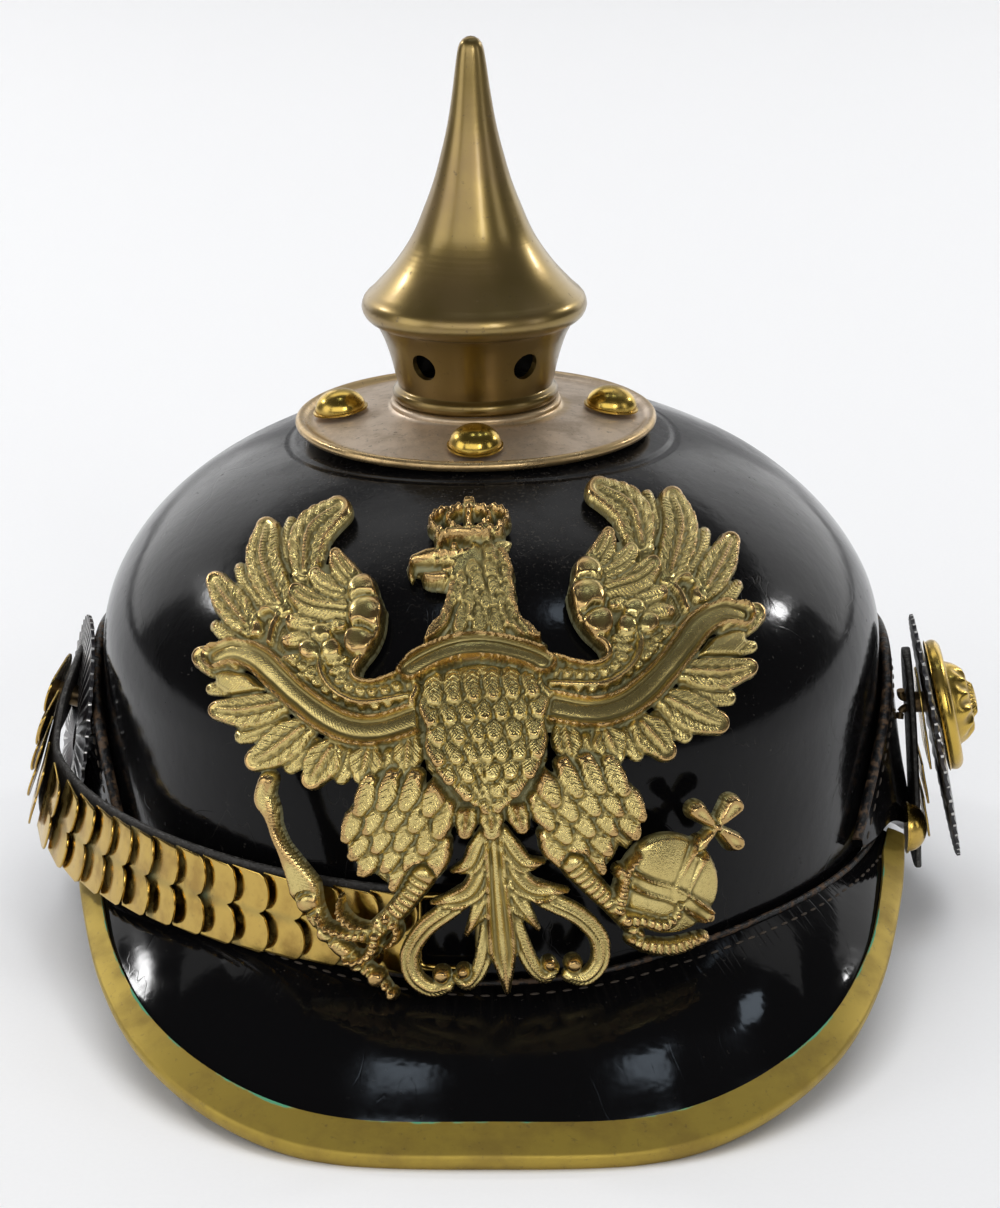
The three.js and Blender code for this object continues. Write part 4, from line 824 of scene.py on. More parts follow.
def cockade_paint(finish, colours):
    """Black paint on pleated metal, with pale metal on the pleat crests: partly paint rubbed through, partly
    a painted highlight along the pleats.
    """
    place = finish.place()
    crest = finish.own("crest")
    # Pale metal along the pleat crests: partly rubbed paint, partly a painted highlight.
    worn = (crest * 0.8 + finish.grain(place, 260.0, 4.0, 0.65)).rise(1.02, 1.22)
    red = finish.grain(place, 70.0, 3.0).rise(0.5, 0.7)
    colour = finish.mix(0.5 * red, tuple(colours.paint), (0.05, 0.018, 0.014, 1.0))
    colour = finish.mix(worn, colour, (0.6, 0.59, 0.57, 1.0))
    return finish.surface({"Base Color": colour, "Metallic": 0.8 * worn, "Roughness": 0.34 - 0.06 * worn})


def post_iron(finish, colours):
    """Dark brown brass of the fastenings."""
    place = finish.place()
    stains = finish.grain(place, 300.0, 4.0, 0.6).rise(0.4, 0.7)
    colour = finish.mix(stains, (0.1, 0.07, 0.04, 1.0), (0.3, 0.2, 0.09, 1.0))
    return finish.surface({"Base Color": colour, "Metallic": 0.9, "Roughness": 0.32 + 0.2 * stains})


def floor_paper(finish, colours):
    """Plain pale paper."""
    place = finish.place()
    fibre = finish.grain(place, 900.0, 3.0)
    colour = finish.mix(fibre.rise(0.3, 0.7) * 0.25, tuple(colours.floor), (0.82, 0.82, 0.83, 1.0))
    return finish.surface({"Base Color": colour, "Roughness": 0.75})


def between(rows, share):
    """A row between the rows of a table, on a smooth curve through each column."""
    place = min(max(share, 0.0), 1.0) * (len(rows) - 1)
    at = min(int(place), len(rows) - 2)
    t = place - at
    picked = [np.array(rows[min(max(k, 0), len(rows) - 1)]) for k in range(at - 1, at + 3)]
    before, start, end, after = picked
    bend = 2 * before - 5 * start + 4 * end - after
    twist = 3 * (start - end) + after - before
    return type(rows[0])(*(start + 0.5 * t * (end - before + t * (bend + t * twist))))


def mirrored(rows, flips):
    """The table with its other half in front; flips names the columns that change sign."""
    other = [row._replace(**{key: -getattr(row, key) for key in flips}) for row in rows[:0:-1]]
    return other + rows


def curve(points, steps=7):
    """A smooth path through some points."""
    points = np.array(points, float)
    path = []
    for i in range(len(points) - 1):
        p0, p1, p2, p3 = (points[min(max(k, 0), len(points) - 1)] for k in range(i - 1, i + 3))
        for t in np.arange(steps) / steps:
            bend = 2 * p0 - 5 * p1 + 4 * p2 - p3
            twist = 3 * (p1 - p2) + p3 - p0
            path.append(p1 + 0.5 * t * (p2 - p0 + t * (bend + t * twist)))
    path.append(points[-1])
    return np.array(path)


def beside_wall(angle, out, height):
    """A point beside the oval wall; the angle in degrees is counted from the front to the right."""
    turn = math.radians(angle)
    return Vector(((HALF_WIDTH + out) * math.sin(turn), -(HALF_LENGTH + out) * math.cos(turn), height))


def turned(outline, sides):
    """A turned shape from an outline of radius and height."""
    bm = bmesh.new()
    verts = [bm.verts.new((radius, 0.0, height)) for radius, height in outline]
    edges = [bm.edges.new(pair) for pair in zip(verts, verts[1:])]
    bmesh.ops.spin(
        bm, geom=verts + edges, axis=(0, 0, 1), cent=(0, 0, 0), dvec=(0, 0, 0),
        angle=2 * math.pi, steps=sides,
        use_merge=True, use_duplicate=False)
    bmesh.ops.remove_doubles(bm, verts=bm.verts, dist=1e-4)
    bmesh.ops.recalc_face_normals(bm, faces=bm.faces)
    return bm


def lofted(sections, capped=True):
    """A skin over sections of equally many points, each closed round, with flat ends."""
    columns = len(sections) - 1
    rows = len(sections[0])
    bm = bmesh.new()
    bm.loops.layers.uv.new("chart")
    bmesh.ops.create_grid(bm, x_segments=columns, y_segments=rows, size=0.5, calc_uvs=True)
    for vert in bm.verts:
        column = round((vert.co.x + 0.5) * columns)
        row = round((vert.co.y + 0.5) * rows)
        vert.co = sections[column][row % rows]
    bmesh.ops.remove_doubles(bm, verts=bm.verts, dist=1e-5)
    if capped:
        bmesh.ops.holes_fill(bm, edges=[edge for edge in bm.edges if edge.is_boundary], sides=0)
    bmesh.ops.recalc_face_normals(bm, faces=bm.faces)
    return bm


def tube(path, radii, sides=12):
    """A round rod along some points."""
    path = [Vector(point) for point in path]
    sections = []
    for i, point in enumerate(path):
        way = (path[min(i + 1, len(path) - 1)] - path[max(i - 1, 0)]).normalized()
        right = way.cross(Vector((0, 0, 1)) if abs(way.z) < 0.9 else Vector((1, 0, 0))).normalized()
        up = right.cross(way)
        turns = [2 * math.pi * k / sides for k in range(sides)]
        radius = radii[min(i, len(radii) - 1)]
        sections.append([point + radius * (math.cos(t) * right + math.sin(t) * up) for t in turns])
    return lofted(sections)


def moved(bm, matrix):
    bmesh.ops.transform(bm, matrix=matrix, verts=bm.verts)
    return bm


def joined(parts):
    """Several meshes as one."""
    whole = bmesh.new()
    for part in parts:
        carrier = bpy.data.meshes.new("carrier")
        part.to_mesh(carrier)
        part.free()
        whole.from_mesh(carrier)
        bpy.data.meshes.remove(carrier)
    return whole


def stitches(path, outs, sizes):
    """Short rounded stitches along a path."""
    bm = bmesh.new()
    path = [Vector(point) for point in path]
    pitch = sizes.stitch_pitch / MM
    size = (sizes.stitch_length / MM / 2, sizes.stitch_radius / MM * 1.3, sizes.stitch_radius / MM)
    due = pitch / 2
    for start, end, out in zip(path, path[1:], outs):
        span = (end - start).length
        while due < span:
            ahead = (end - start).normalized()
            side = out.cross(ahead).normalized()
            turn = Matrix((ahead, side, ahead.cross(side))).transposed().to_4x4()
            spot = Matrix.Translation(start.lerp(end, due / span))
            shape = spot @ turn @ Matrix.Diagonal((*size, 1.0))
            bmesh.ops.create_icosphere(bm, subdivisions=2, radius=1.0, matrix=shape)
            due += pitch
        due -= span
    return bm


def dress(bm, name, finishes, nodes=(), sharp=38.0):
    """Places a finished mesh as a piece of the helmet."""
    bmesh.ops.scale(bm, vec=(MM, MM, MM), verts=bm.verts)
    bmesh.ops.translate(bm, vec=CENTRE, verts=bm.verts)
    mesh = bpy.data.meshes.new(name)
    bm.to_mesh(mesh)
    bm.free()
    mesh.shade_smooth()
    mesh.set_sharp_from_angle(angle=math.radians(sharp))
    for finish in finishes:
        mesh.materials.append(finish)
    piece = bpy.data.objects.new(name, mesh)
    bpy.context.scene.collection.objects.link(piece)
    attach(piece, "root")
    if nodes:
        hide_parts(*nodes)
    return piece


def crown_mesh(sizes):
    """The hollow crown: a dome on an oval wall, lower in front than behind."""
    def arc(inset, steps):
        first = math.asin(VENT / (HALF_WIDTH - inset))
        turns = np.linspace(first, math.pi / 2, steps)
        return [((HALF_WIDTH - inset) * math.sin(t), DOME_FOOT + (DOME - inset) * math.cos(t)) for t in turns]

    def wall(inset, steps):
        return [(HALF_WIDTH - inset, height) for height in np.linspace(DOME_FOOT, FOOT_FRONT, steps)]

    outer = arc(0.0, 48) + wall(0.0, 14)[1:]
    inner = arc(CROWN_WALL, 24) + wall(CROWN_WALL, 8)[1:]
    bm = turned(outer + inner[::-1] + outer[:1], sizes.crown_sides)
    bmesh.ops.scale(bm, vec=(1.0, HALF_LENGTH / HALF_WIDTH, 1.0), verts=bm.verts)
    depth = sizes.dents / MM
    for vert in bm.verts:
        if vert.co.z < DOME_FOOT:
            foot = FOOT_FRONT + (FOOT_BACK - FOOT_FRONT) * (vert.co.y / HALF_LENGTH + 1) / 2
            share = (DOME_FOOT - vert.co.z) / (DOME_FOOT - FOOT_FRONT)
            vert.co.z = DOME_FOOT - share * (DOME_FOOT - foot)
    bm.normal_update()
    for vert in bm.verts:
        wave = noise.noise(vert.co * 0.028) + 0.5 * noise.noise(vert.co * 0.065)
        vert.co -= vert.normal * depth * max(wave, -0.2)
    middle = Vector((0, 0, DOME_FOOT))
    for face in bm.faces:
        outward = face.calc_center_median() - middle
        outward.z = max(outward.z, 0.0)
        face.material_index = 0 if face.normal.dot(outward) > 0 else 1
    return bm


def visor_frames(stations):
    """Frames across the front visor: from the wall to the edge, and the way up from it."""
    rows = mirrored(VISOR_ROWS, ("angle", "x"))
    half = VISOR_THICKNESS / 2 + GAP + TRIM_METAL
    Frame = namedtuple("Frame", "inner outer along up cover angle")
    ends = []
    for i in range(stations + 1):
        row = between(rows, i / stations)
        inner = beside_wall(row.angle, VISOR_CLEARANCE, row.seam)
        ends.append((inner, Vector((row.x, row.y, row.edge + half - TRIM_SINK)), row.angle))
    frames = []
    for i, (inner, outer, angle) in enumerate(ends):
        along = (outer - inner).normalized()
        edge_way = ends[min(i + 1, stations)][1] - ends[max(i - 1, 0)][1]
        up = edge_way.cross(along).normalized()
        if up.z < 0:
            up.negate()
        outer = outer - along * TRIM_NOSE
        narrowed = TRIM_WIDTH - TRIM_NARROWING * min(abs(angle) / TRIM_NARROW_AT, 1.0) ** 2
        cover = min(narrowed, (outer - inner).length * TRIM_SHARE)
        frames.append(Frame(inner, outer, along, up, cover, angle))
    return frames


def visor_top(frame, share):
    """The lift of the visor's arched upper face."""
    width = (frame.outer - frame.inner).length
    open_share = 1 - (frame.cover + GAP) / width
    arch = VISOR_ARCH * min(1.0, width / VISOR_ARCH_WIDTH)
    return VISOR_THICKNESS / 2 + arch * math.sin(math.pi * min(share / open_share, 1.0))


def visor_mesh(frames):
    shares = np.linspace(0.0, 1.0, 26)
    sections = []
    for frame in frames:
        top = [frame.inner.lerp(frame.outer, s) + frame.up * visor_top(frame, s) for s in shares]
        under = [point - frame.up * VISOR_THICKNESS for point in top[::-1]]
        sections.append(top + under)
    bm = lofted(sections)
    for face in bm.faces:
        face.material_index = 1 if face.normal.z < -0.25 else 0
    return bm


def trim_mesh(frames):
    """Brass folded round the edge of the visor."""
    slot = VISOR_THICKNESS / 2 + GAP
    half = slot + TRIM_METAL
    nose = [math.pi * k / 12 for k in range(13)]
    sections = []
    for frame in frames:
        flange = np.linspace(-frame.cover, 0.0, 7)
        swell = [half + 0.06 * math.sin(math.pi * k / 6) for k in range(7)]
        fold = [(-frame.cover, half - 0.25)] + list(zip(flange, swell))
        fold += [(TRIM_NOSE * math.sin(t), half * math.cos(t)) for t in nose[1:-1]]
        fold += [(ahead, -lift) for ahead, lift in list(zip(flange, swell))[::-1]]
        fold += [(-frame.cover, -slot), (GAP, -slot), (GAP, slot), (-frame.cover, slot)]
        section = [frame.outer + frame.along * ahead + frame.up * lift for ahead, lift in fold]
        for point in section:
            point.z = max(point.z, 0.0)
        sections.append(section)
    return lofted(sections)


def guard_frames(stations):
    """Frames down the rear visor: its sewn top, its foot and the way out of it."""
    Frame = namedtuple("Frame", "top foot out sag")
    rows = mirrored(GUARD_ROWS, ("angle",))
    frames = []
    for i in range(stations + 1):
        row = between(rows, i / stations)
        turn = 180 - row.angle
        top = beside_wall(turn, GUARD_CLEARANCE, row.top)
        foot = beside_wall(turn, GUARD_CLEARANCE + row.flare, row.foot)
        ahead = beside_wall(turn + 1, 0, 0) - beside_wall(turn - 1, 0, 0)
        out = (foot - top).cross(ahead).normalized()
        if out.dot(beside_wall(turn, 1, 0) - beside_wall(turn, 0, 0)) < 0:
            out.negate()
        frames.append(Frame(top, foot, out, GUARD_HOLLOW * min(1.0, row.flare / GUARD_HOLLOW_FLARE)))
    return frames


def guard_point(frame, share, lift):
    return frame.top.lerp(frame.foot, share) + frame.out * (lift - frame.sag * math.sin(math.pi * share))


def guard_mesh(frames):
    shares = np.linspace(0.0, 1.0, 22)
    sections = []
    for frame in frames:
        outer = [guard_point(frame, s, GUARD_THICKNESS) for s in shares]
        inner = [guard_point(frame, s, 0.0) for s in shares[::-1]]
        section = outer + inner
        for point in section:
            point.z = max(point.z, 0.0)
        sections.append(section)
    bm = lofted(sections)
    for face in bm.faces:
        outward = face.calc_center_median() * Vector((1, 1, 0))
        face.material_index = 0 if face.normal.dot(outward) > 0 else 1
    return bm


def even(points, count):
    """A smooth path through some points, cut into equal steps."""
    path = curve(points)
    reach = np.concatenate([[0.0], np.cumsum(np.linalg.norm(np.diff(path, axis=0), axis=1))])
    places = np.linspace(0.0, reach[-1], count)
    return np.stack([np.interp(places, reach, path[:, k]) for k in range(path.shape[1])], axis=1)


def neck_mesh():
    """The neck of the spike: a beaded tube with round vent holes."""
    bm = turned(even(NECK_OUTLINE, 40), 300)
    turns = [2 * math.pi * (k + 0.5) / NECK_HOLES - math.pi / 2 for k in range(NECK_HOLES)]

    def from_hole(point):
        """How far round and up a point lies from the middle of the nearest hole."""
        turn = math.atan2(point.y, point.x)
        off = min((math.remainder(turn - t, 2 * math.pi) for t in turns), key=abs)
        return off * math.hypot(point.x, point.y), point.z - NECK_HOLE_HEIGHT

    inside = [
        face for face in bm.faces
        if math.hypot(*from_hole(face.calc_center_median())) < NECK_HOLE_RADIUS]
    bmesh.ops.delete(bm, geom=inside, context="FACES")
    for vert in bm.verts:
        across, up = from_hole(vert.co)
        away = math.hypot(across, up)
        if vert.is_boundary and away < 2 * NECK_HOLE_RADIUS:
            radius = math.hypot(vert.co.x, vert.co.y)
            turn = across * (NECK_HOLE_RADIUS / away - 1) / radius
            vert.co = Matrix.Rotation(turn, 3, "Z") @ vert.co
            vert.co.z = NECK_HOLE_HEIGHT + up * NECK_HOLE_RADIUS / away
    some = next(iter(bm.faces))
    if some.normal.dot(some.calc_center_median() * Vector((1, 1, 0))) < 0:
        bmesh.ops.reverse_faces(bm, faces=bm.faces)
    bm.normal_update()
    bmesh.ops.solidify(bm, geom=bm.faces[:], thickness=NECK_WALL)
    bm.normal_update()
    # Faces that look inward take the second finish, the painted shade of the neck's inside.
    for face in bm.faces:
        outward = (face.calc_center_median() * Vector((1, 1, 0))).normalized()
        face.material_index = 1 if face.normal.dot(outward) < -0.5 else 0
    return bm


def stud_mesh(radius, height):
    """A domed stud with a narrow rolled foot."""
    turns = np.linspace(0.0, math.pi / 2, 14)
    dome = [(0.93 * radius * math.sin(t), 0.5 + (height - 0.5) * math.cos(t)) for t in turns]
    return turned(dome + [(radius, 0.4), (radius, 0.0), (0.0, 0.0)], 48)


def strap_route(points, outs):
    """The way of a strap: its length, and a frame at any distance along it."""
    points = np.array([tuple(point) for point in points])
    reach = np.concatenate([[0.0], np.cumsum(np.linalg.norm(np.diff(points, axis=0), axis=1))])
    Frame = namedtuple("Frame", "at ahead out up")

    def spot(distance):
        place = min(max(distance, 0.0), reach[-1])
        return Vector([np.interp(place, reach, points[:, k]) for k in range(3)])

    def frame_at(distance):
        ahead = (spot(distance + 2.0) - spot(distance - 2.0)).normalized()
        row = int(round(np.interp(distance, reach, np.arange(len(points)))))
        out = outs[row] - ahead * outs[row].dot(ahead)
        out.normalize()
        return Frame(spot(distance), ahead, out, out.cross(ahead))

    return reach[-1], frame_at


def left_route():
    rows = [between(LEFT_ROWS, i / 120) for i in range(121)]
    points = [beside_wall(-row.angle, row.out, row.height) for row in rows]
    outs = []
    for row in rows:
        turn, lean = math.radians(row.angle), math.radians(row.lean)
        level = Vector((-math.sin(turn), -math.cos(turn), 0.0)) * math.cos(lean)
        outs.append(level + Vector((0.0, 0.0, math.sin(lean))))
    return strap_route(points, outs)


def right_route():
    points = curve(RIGHT_WAY, 12)
    return strap_route(points, [Vector((1, 0, 0)) for _ in points])


def strap_mesh(route):
    """A leather strap with a round end and rounded edges."""
    length, frame_at = route
    count = int(length / STRAP_STEP)
    turns = [2 * math.pi * k / 28 for k in range(28)]
    distances = [STRAP_REACH * (1 - math.cos(t)) for t in np.linspace(0.05, math.pi / 2, 10)]
    distances += list(np.linspace(STRAP_REACH, length, count)[1:])
    sections = []
    for distance in distances:
        frame = frame_at(distance)
        back = max(0.0, 1 - distance / STRAP_REACH)
        tall = STRAP_REACH * math.sqrt(1 - back * back)
        section = []
        for turn in turns:
            sine, cosine = math.sin(turn), math.cos(turn)
            up = tall * math.copysign(abs(sine) ** 0.35, sine)
            out = STRAP_HALF * math.copysign(abs(cosine) ** 0.6, cosine)
            section.append(frame.at + frame.out * out + frame.up * (up + STRAP_RAISE))
        sections.append(section)
    return lofted(sections)


def scale_mesh(length, round_root, sizes):
    """A brass scale: two domed lobes ahead, a straight or a round root."""
    lobe = SCALE_REACH / 2
    straight = length - lobe
    dome = sizes.scale_dome / MM
    bm = bmesh.new()
    bm.loops.layers.uv.new("chart")
    bmesh.ops.create_grid(bm, x_segments=18, y_segments=28, size=0.5, calc_uvs=True)
    for vert in bm.verts:
        ahead, side = vert.co.x + 0.5, 2 * vert.co.y
        off = abs(2 * abs(side) - 1)
        tip = straight + 0.3 * lobe + 0.62 * lobe * math.sqrt(max(1 - off * off, 0.0))
        root = -SCALE_REACH * math.sqrt(max(1 - side * side, 0.0)) if round_root else 0.5 * side * side
        swell = min(max((ahead - 0.15) / 0.6, 0.0), 1.0)
        swell = swell * swell * (3 - 2 * swell)
        lift = dome * swell * (1 - off * off) + 0.25 * dome * swell
        vert.co = Vector((root + (tip - root) * ahead, side * SCALE_REACH, lift))
    bmesh.ops.remove_doubles(bm, verts=bm.verts, dist=1e-4)
    bm.normal_update()
    metal = sizes.scale_metal / MM
    bmesh.ops.solidify(bm, geom=bm.faces[:], thickness=metal)
    bmesh.ops.translate(bm, vec=(0, 0, metal), verts=bm.verts)
    rims = [edge for edge in bm.edges if len(edge.link_faces) == 2 and edge.calc_face_angle(0) > 1.0]
    bmesh.ops.bevel(
        bm, geom=rims, offset=0.16, segments=2, profile=0.5, material=-1, affect="EDGES", clamp_overlap=True)
    return bm


def laid(frame, lift, tilt):
    """The place of a flat piece on a strap: x ahead, y up, z out, its free edge lifted."""
    rise = math.radians(tilt)
    ahead = frame.ahead * math.cos(rise) + frame.out * math.sin(rise)
    out = ahead.cross(frame.up).normalized()
    turn = Matrix((ahead, frame.up, out)).transposed().to_4x4()
    return Matrix.Translation(frame.at + frame.out * lift) @ turn


def buckle_mesh():
    """An open frame of half-round wire with soft corners."""
    half_length, half_height = BUCKLE_LENGTH / 2, BUCKLE_REACH
    bar, thick = BUCKLE_BAR / 2, BUCKLE_THICKNESS / 2
    corner = 1.8
    path = []
    for k, (sx, sy) in enumerate(((1, -1), (1, 1), (-1, 1), (-1, -1))):
        for t in np.linspace(0.0, 1.0, 6):
            turn = math.pi / 2 * (k - 1 + t)
            centre = Vector((sx * (half_length - bar - corner), sy * (half_height - bar - corner), 0.0))
            way = Vector((math.cos(turn), math.sin(turn), 0.0))
            path.append((centre + way * corner, way))
    path.append(path[0])
    turns = [2 * math.pi * k / 14 for k in range(14)]
    sections = [[point + way * (bar * math.cos(t)) + Vector((0, 0, thick * math.sin(t))) for t in turns]
                for point, way in path]
    bm = lofted(sections, capped=False)
    return moved(bm, Matrix.Translation((half_length, 0.0, thick)))


def cockade_mesh(sizes):
    """A pleated ring: its pleats run outwards, its edge is finely scalloped."""
    steps = 8
    columns = sizes.pleats * steps
    rows = 16
    bm = bmesh.new()
    bm.loops.layers.uv.new("chart")
    crest = bm.verts.layers.float.new("crest")
    bmesh.ops.create_grid(bm, x_segments=columns, y_segments=rows, size=0.5, calc_uvs=True)
    for vert in bm.verts:
        turn = 2 * math.pi * (vert.co.x + 0.5)
        share = vert.co.y + 0.5
        pleat = math.cos(turn * sizes.pleats + 2.2 * share)
        rim = COCKADE["radius"] - 0.35 * (1 - pleat) * share
        radius = COCKADE["hole"] + (rim - COCKADE["hole"]) * share
        ridge = 0.35 + 0.65 * math.sin(math.pi * min(share * 1.05, 1.0))
        level = COCKADE["rim"] * 0.35 + 0.55 * ridge + 0.42 * pleat * min(1.0, 4 * share) * ridge
        # The crests carry the pale metal of the finish, partly a painted highlight along the pleats.
        vert[crest] = max(pleat, 0.0) * min(1.0, 3 * share)
        vert.co = Vector((radius * math.cos(turn), radius * math.sin(turn), level))
    bmesh.ops.remove_doubles(bm, verts=bm.verts, dist=1e-4)
    bm.normal_update()
    if next(iter(bm.faces)).normal.z < 0:
        bmesh.ops.reverse_faces(bm, faces=bm.faces)
        bm.normal_update()
    bmesh.ops.solidify(bm, geom=bm.faces[:], thickness=0.75)
    return bm


def rosette_mesh(sizes):
    """A domed rosette: a knurled knob, a ring of petals and a plain round rim."""
    outline = even(ROSETTE_OUTLINE, 64)
    sides = sizes.petals * 16
    bm = turned(outline, sides)
    hollow = bm.verts.layers.float.new("hollow")
    for vert in bm.verts:
        radius = math.hypot(vert.co.x, vert.co.y)
        turn = math.atan2(vert.co.y, vert.co.x)
        petal = math.cos(turn * sizes.petals)
        knurl = math.cos(turn * sizes.petals * 2)
        on_petals = max(0.0, 1 - abs(radius - 7.2) / 2.6) if vert.co.z > 3 else 0.0
        on_knob = max(0.0, 1 - abs(radius - 3.6) / 1.2) if vert.co.z > 7 else 0.0
        groove = max(0.0, 1 - abs(radius - 10.4) / 1.1) if vert.co.z > 2.5 else 0.0
        vert.co.z += 0.55 * petal * on_petals + 0.3 * knurl * on_knob
        vert[hollow] = min(1.0, groove + on_petals * max(-petal, 0.0) + on_knob * max(-knurl, 0.0))
    return bm


class Relief:
    """Heights of the stamped eagle over its flat drawing, in millimetres.

    Shapes are laid one over another, and each hides what lies under it.
    """

    def __init__(self, wide, low, high, step):
        self.step = step
        self.across = np.arange(-wide, wide + step, step)
        self.upward = np.arange(low, high + step, step)
        self.u, self.w = np.meshgrid(self.across, self.upward, indexing="ij")
        self.inside = np.full(self.u.shape, -9.0)
        self.height, self.along, self.beside, self.plain = (np.zeros(self.u.shape) for _ in range(4))

    def part(self, points, margin):
        """The part of the drawing round some points."""
        low = np.min(points, axis=0) - margin
        high = np.max(points, axis=0) + margin
        columns = np.searchsorted(self.across, (low[0], high[0]))
        rows = np.searchsorted(self.upward, (low[1], high[1]))
        return slice(*columns), slice(*rows)

    def cover(self, part, inside, height, along=0.0, beside=0.0, plain=0.0, over=None):
        """Lays one shape over the drawing; over keeps it at least that far above what is there."""
        on = inside > 0
        under = self.height[part]
        if over is not None:
            height = np.maximum(height, under + over)
        self.height[part] = np.where(on, height, under)
        self.along[part] = np.where(on, along, self.along[part])
        self.beside[part] = np.where(on, beside, self.beside[part])
        self.plain[part] = np.where(on, plain, self.plain[part])
        self.inside[part] = np.maximum(self.inside[part], inside)

    def follow(self, path, margin):
        """For the points round a path: distance along it, signed distance beside it and share of it."""
        part = self.part(path, margin)
        u, w = self.u[part], self.w[part]
        best = np.full(u.shape, 1e9)
        along, beside = np.zeros(u.shape), np.zeros(u.shape)
        done = 0.0
        for start, end in zip(path[:-1], path[1:]):
            length = np.hypot(*(end - start))
            way = (end - start) / length
            t = np.clip((u - start[0]) * way[0] + (w - start[1]) * way[1], 0, length)
            du, dw = u - start[0] - t * way[0], w - start[1] - t * way[1]
            away = np.hypot(du, dw)
            closer = away < best
            best = np.where(closer, away, best)
            along = np.where(closer, done + t, along)
            side = np.where(way[0] * dw - way[1] * du < 0, -away, away)
            beside = np.where(closer, side, beside)
            done += length
        return part, along, beside, along / done

    def stroke(self, points, halves, form, lift, rise, plain=0.0, over=None):
        """A band of changing width along a path; form gives its height across."""
        halves = list(halves) * len(points) if len(halves) == 1 else halves
        part, along, beside, share = self.follow(curve(points), max(halves) + 1.5)
        half = np.interp(share, np.linspace(0, 1, len(halves)), halves)
        x = np.clip(np.abs(beside) / half, 0, 1)
        height = lift + rise * form(x, beside, along, share)
        plain = np.where((share <= 0) | (share >= 1), 1.0, plain)
        self.cover(part, half - np.abs(beside), height, along, beside, plain, over)

    def patch(self, points, reach, lift, rise, plain=0.0):
        """A filled outline that swells from its edge."""
        points = np.array(points, float)
        part = self.part(points, 2.0)
        inside = depth_in(points, self.u[part], self.w[part])
        height = lift + rise * (1 - np.exp(-np.maximum(inside, 0) / reach))
        self.cover(part, inside, height, self.u[part], self.w[part], plain)

    def ball(self, knob, lift, plain=1.0, over=None, side=1):
        at = np.array([(knob.out * side, knob.up)], float)
        part = self.part(at, knob.radius + 1)
        away = np.hypot(self.u[part] - at[0, 0], self.w[part] - at[0, 1])
        dome = np.sqrt(np.maximum(1 - (away / knob.radius) ** 2, 0))
        self.cover(part, knob.radius - away, lift + knob.rise * dome, 0.0, 0.0, plain, over)

    def feather(self, root, bend, tip, half, lift, rise, form):
        root, bend, tip = (np.array(point, float) for point in (root, bend, tip))
        last = tip - bend
        tip = tip - last / np.hypot(*last) * half * 0.7
        self.stroke([root, bend, tip], [0.7 * half, half, half, 0.7 * half], form, lift, rise)


def depth_in(outline, u, w):
    """How deep points lie inside a closed outline, below zero outside it."""
    outline = np.array(outline, float)
    away = np.full(np.shape(u), 1e9)
    odd = np.zeros(np.shape(u), bool)
    for start, end in zip(outline, np.roll(outline, -1, axis=0)):
        way = end - start
        t = np.clip(((u - start[0]) * way[0] + (w - start[1]) * way[1]) / (way @ way), 0, 1)
        away = np.minimum(away, np.hypot(u - start[0] - t * way[0], w - start[1] - t * way[1]))
        if start[1] != end[1]:
            crossing = (start[1] > w) != (end[1] > w)
            odd = odd ^ (crossing & (u < start[0] + (w - start[1]) * way[0] / way[1]))
    return np.where(odd, away, -away)


def spaced(points, count):
    """Points along a path at equal distances, each with the way the path goes there."""
    path = even(points, 8 * (count - 1) + 1)
    for k in range(count):
        way = path[min(8 * k + 1, len(path) - 1)] - path[max(8 * k - 1, 0)]
        yield path[8 * k], way / np.hypot(*way)


def blade(x, beside, along, share):
    """A long feather: rounded, with a shaft, slanting veins and a rolled edge."""
    ridge = 0.3 * np.exp(-((beside / 0.32) ** 2)) * (1 - share**4)
    shaft = ridge - 0.26 * np.exp(-(((x - 0.28) / 0.11) ** 2))
    veins = 0.3 * np.maximum(np.cos((along - 1.15 * np.abs(beside)) * 2.5), 0) ** 5 * np.minimum(1, 3 * x)
    rolled = 0.16 * np.exp(-(((x - 0.84) / 0.1) ** 2)) - 0.1 * np.exp(-(((x - 0.62) / 0.12) ** 2))
    return np.sqrt(1 - x**4) + shaft + rolled - veins * (1 - share**6)


def strands(x, beside, along, share):
    """A narrow feather with grooves along it."""
    return np.sqrt(1 - x**3) + 0.26 * np.cos(beside * 4.2) * (1 - x)


def plume(x, beside, along, share):
    """A short feather that rises to its tip, with slanting barbs."""
    barbs = 0.12 * np.cos((along - 0.9 * np.abs(beside)) * 5.0)
    return np.sqrt(1 - x**4) * (0.5 + 0.5 * share) + barbs * (1 - x**4) * (1 - share**6)


def rod(x, beside, along, share):
    return np.sqrt(1 - 0.96 * x * x)


def ringed(x, beside, along, share):
    """A rod with rings, as on a scaly toe."""
    return np.sqrt(1 - 0.96 * x * x) * (1 + 0.16 * np.cos(along * 4.2))


def rimmed(x, beside, along, share):
    """A ribbon: a hollow band between two round rims."""
    rims = 0.75 * np.exp(-(((x - 0.82) / 0.17) ** 2))
    return 0.4 + 0.12 * (1 - x * x) + rims - 0.35 * np.maximum(x - 0.92, 0) / 0.08


def channel(x, beside, along, share):
    """A leaf or scroll: round rims, a groove inside each and a ridge in the middle."""
    rims = np.exp(-(((x - 0.8) / 0.17) ** 2))
    ridge = 0.62 * np.exp(-((x / 0.26) ** 2))
    return 0.5 + 0.5 * np.maximum(rims, ridge) - 0.45 * np.maximum(x - 0.9, 0) / 0.1


def bevelled(x, beside, along, share):
    return np.minimum(1, (1 - x) * 3)


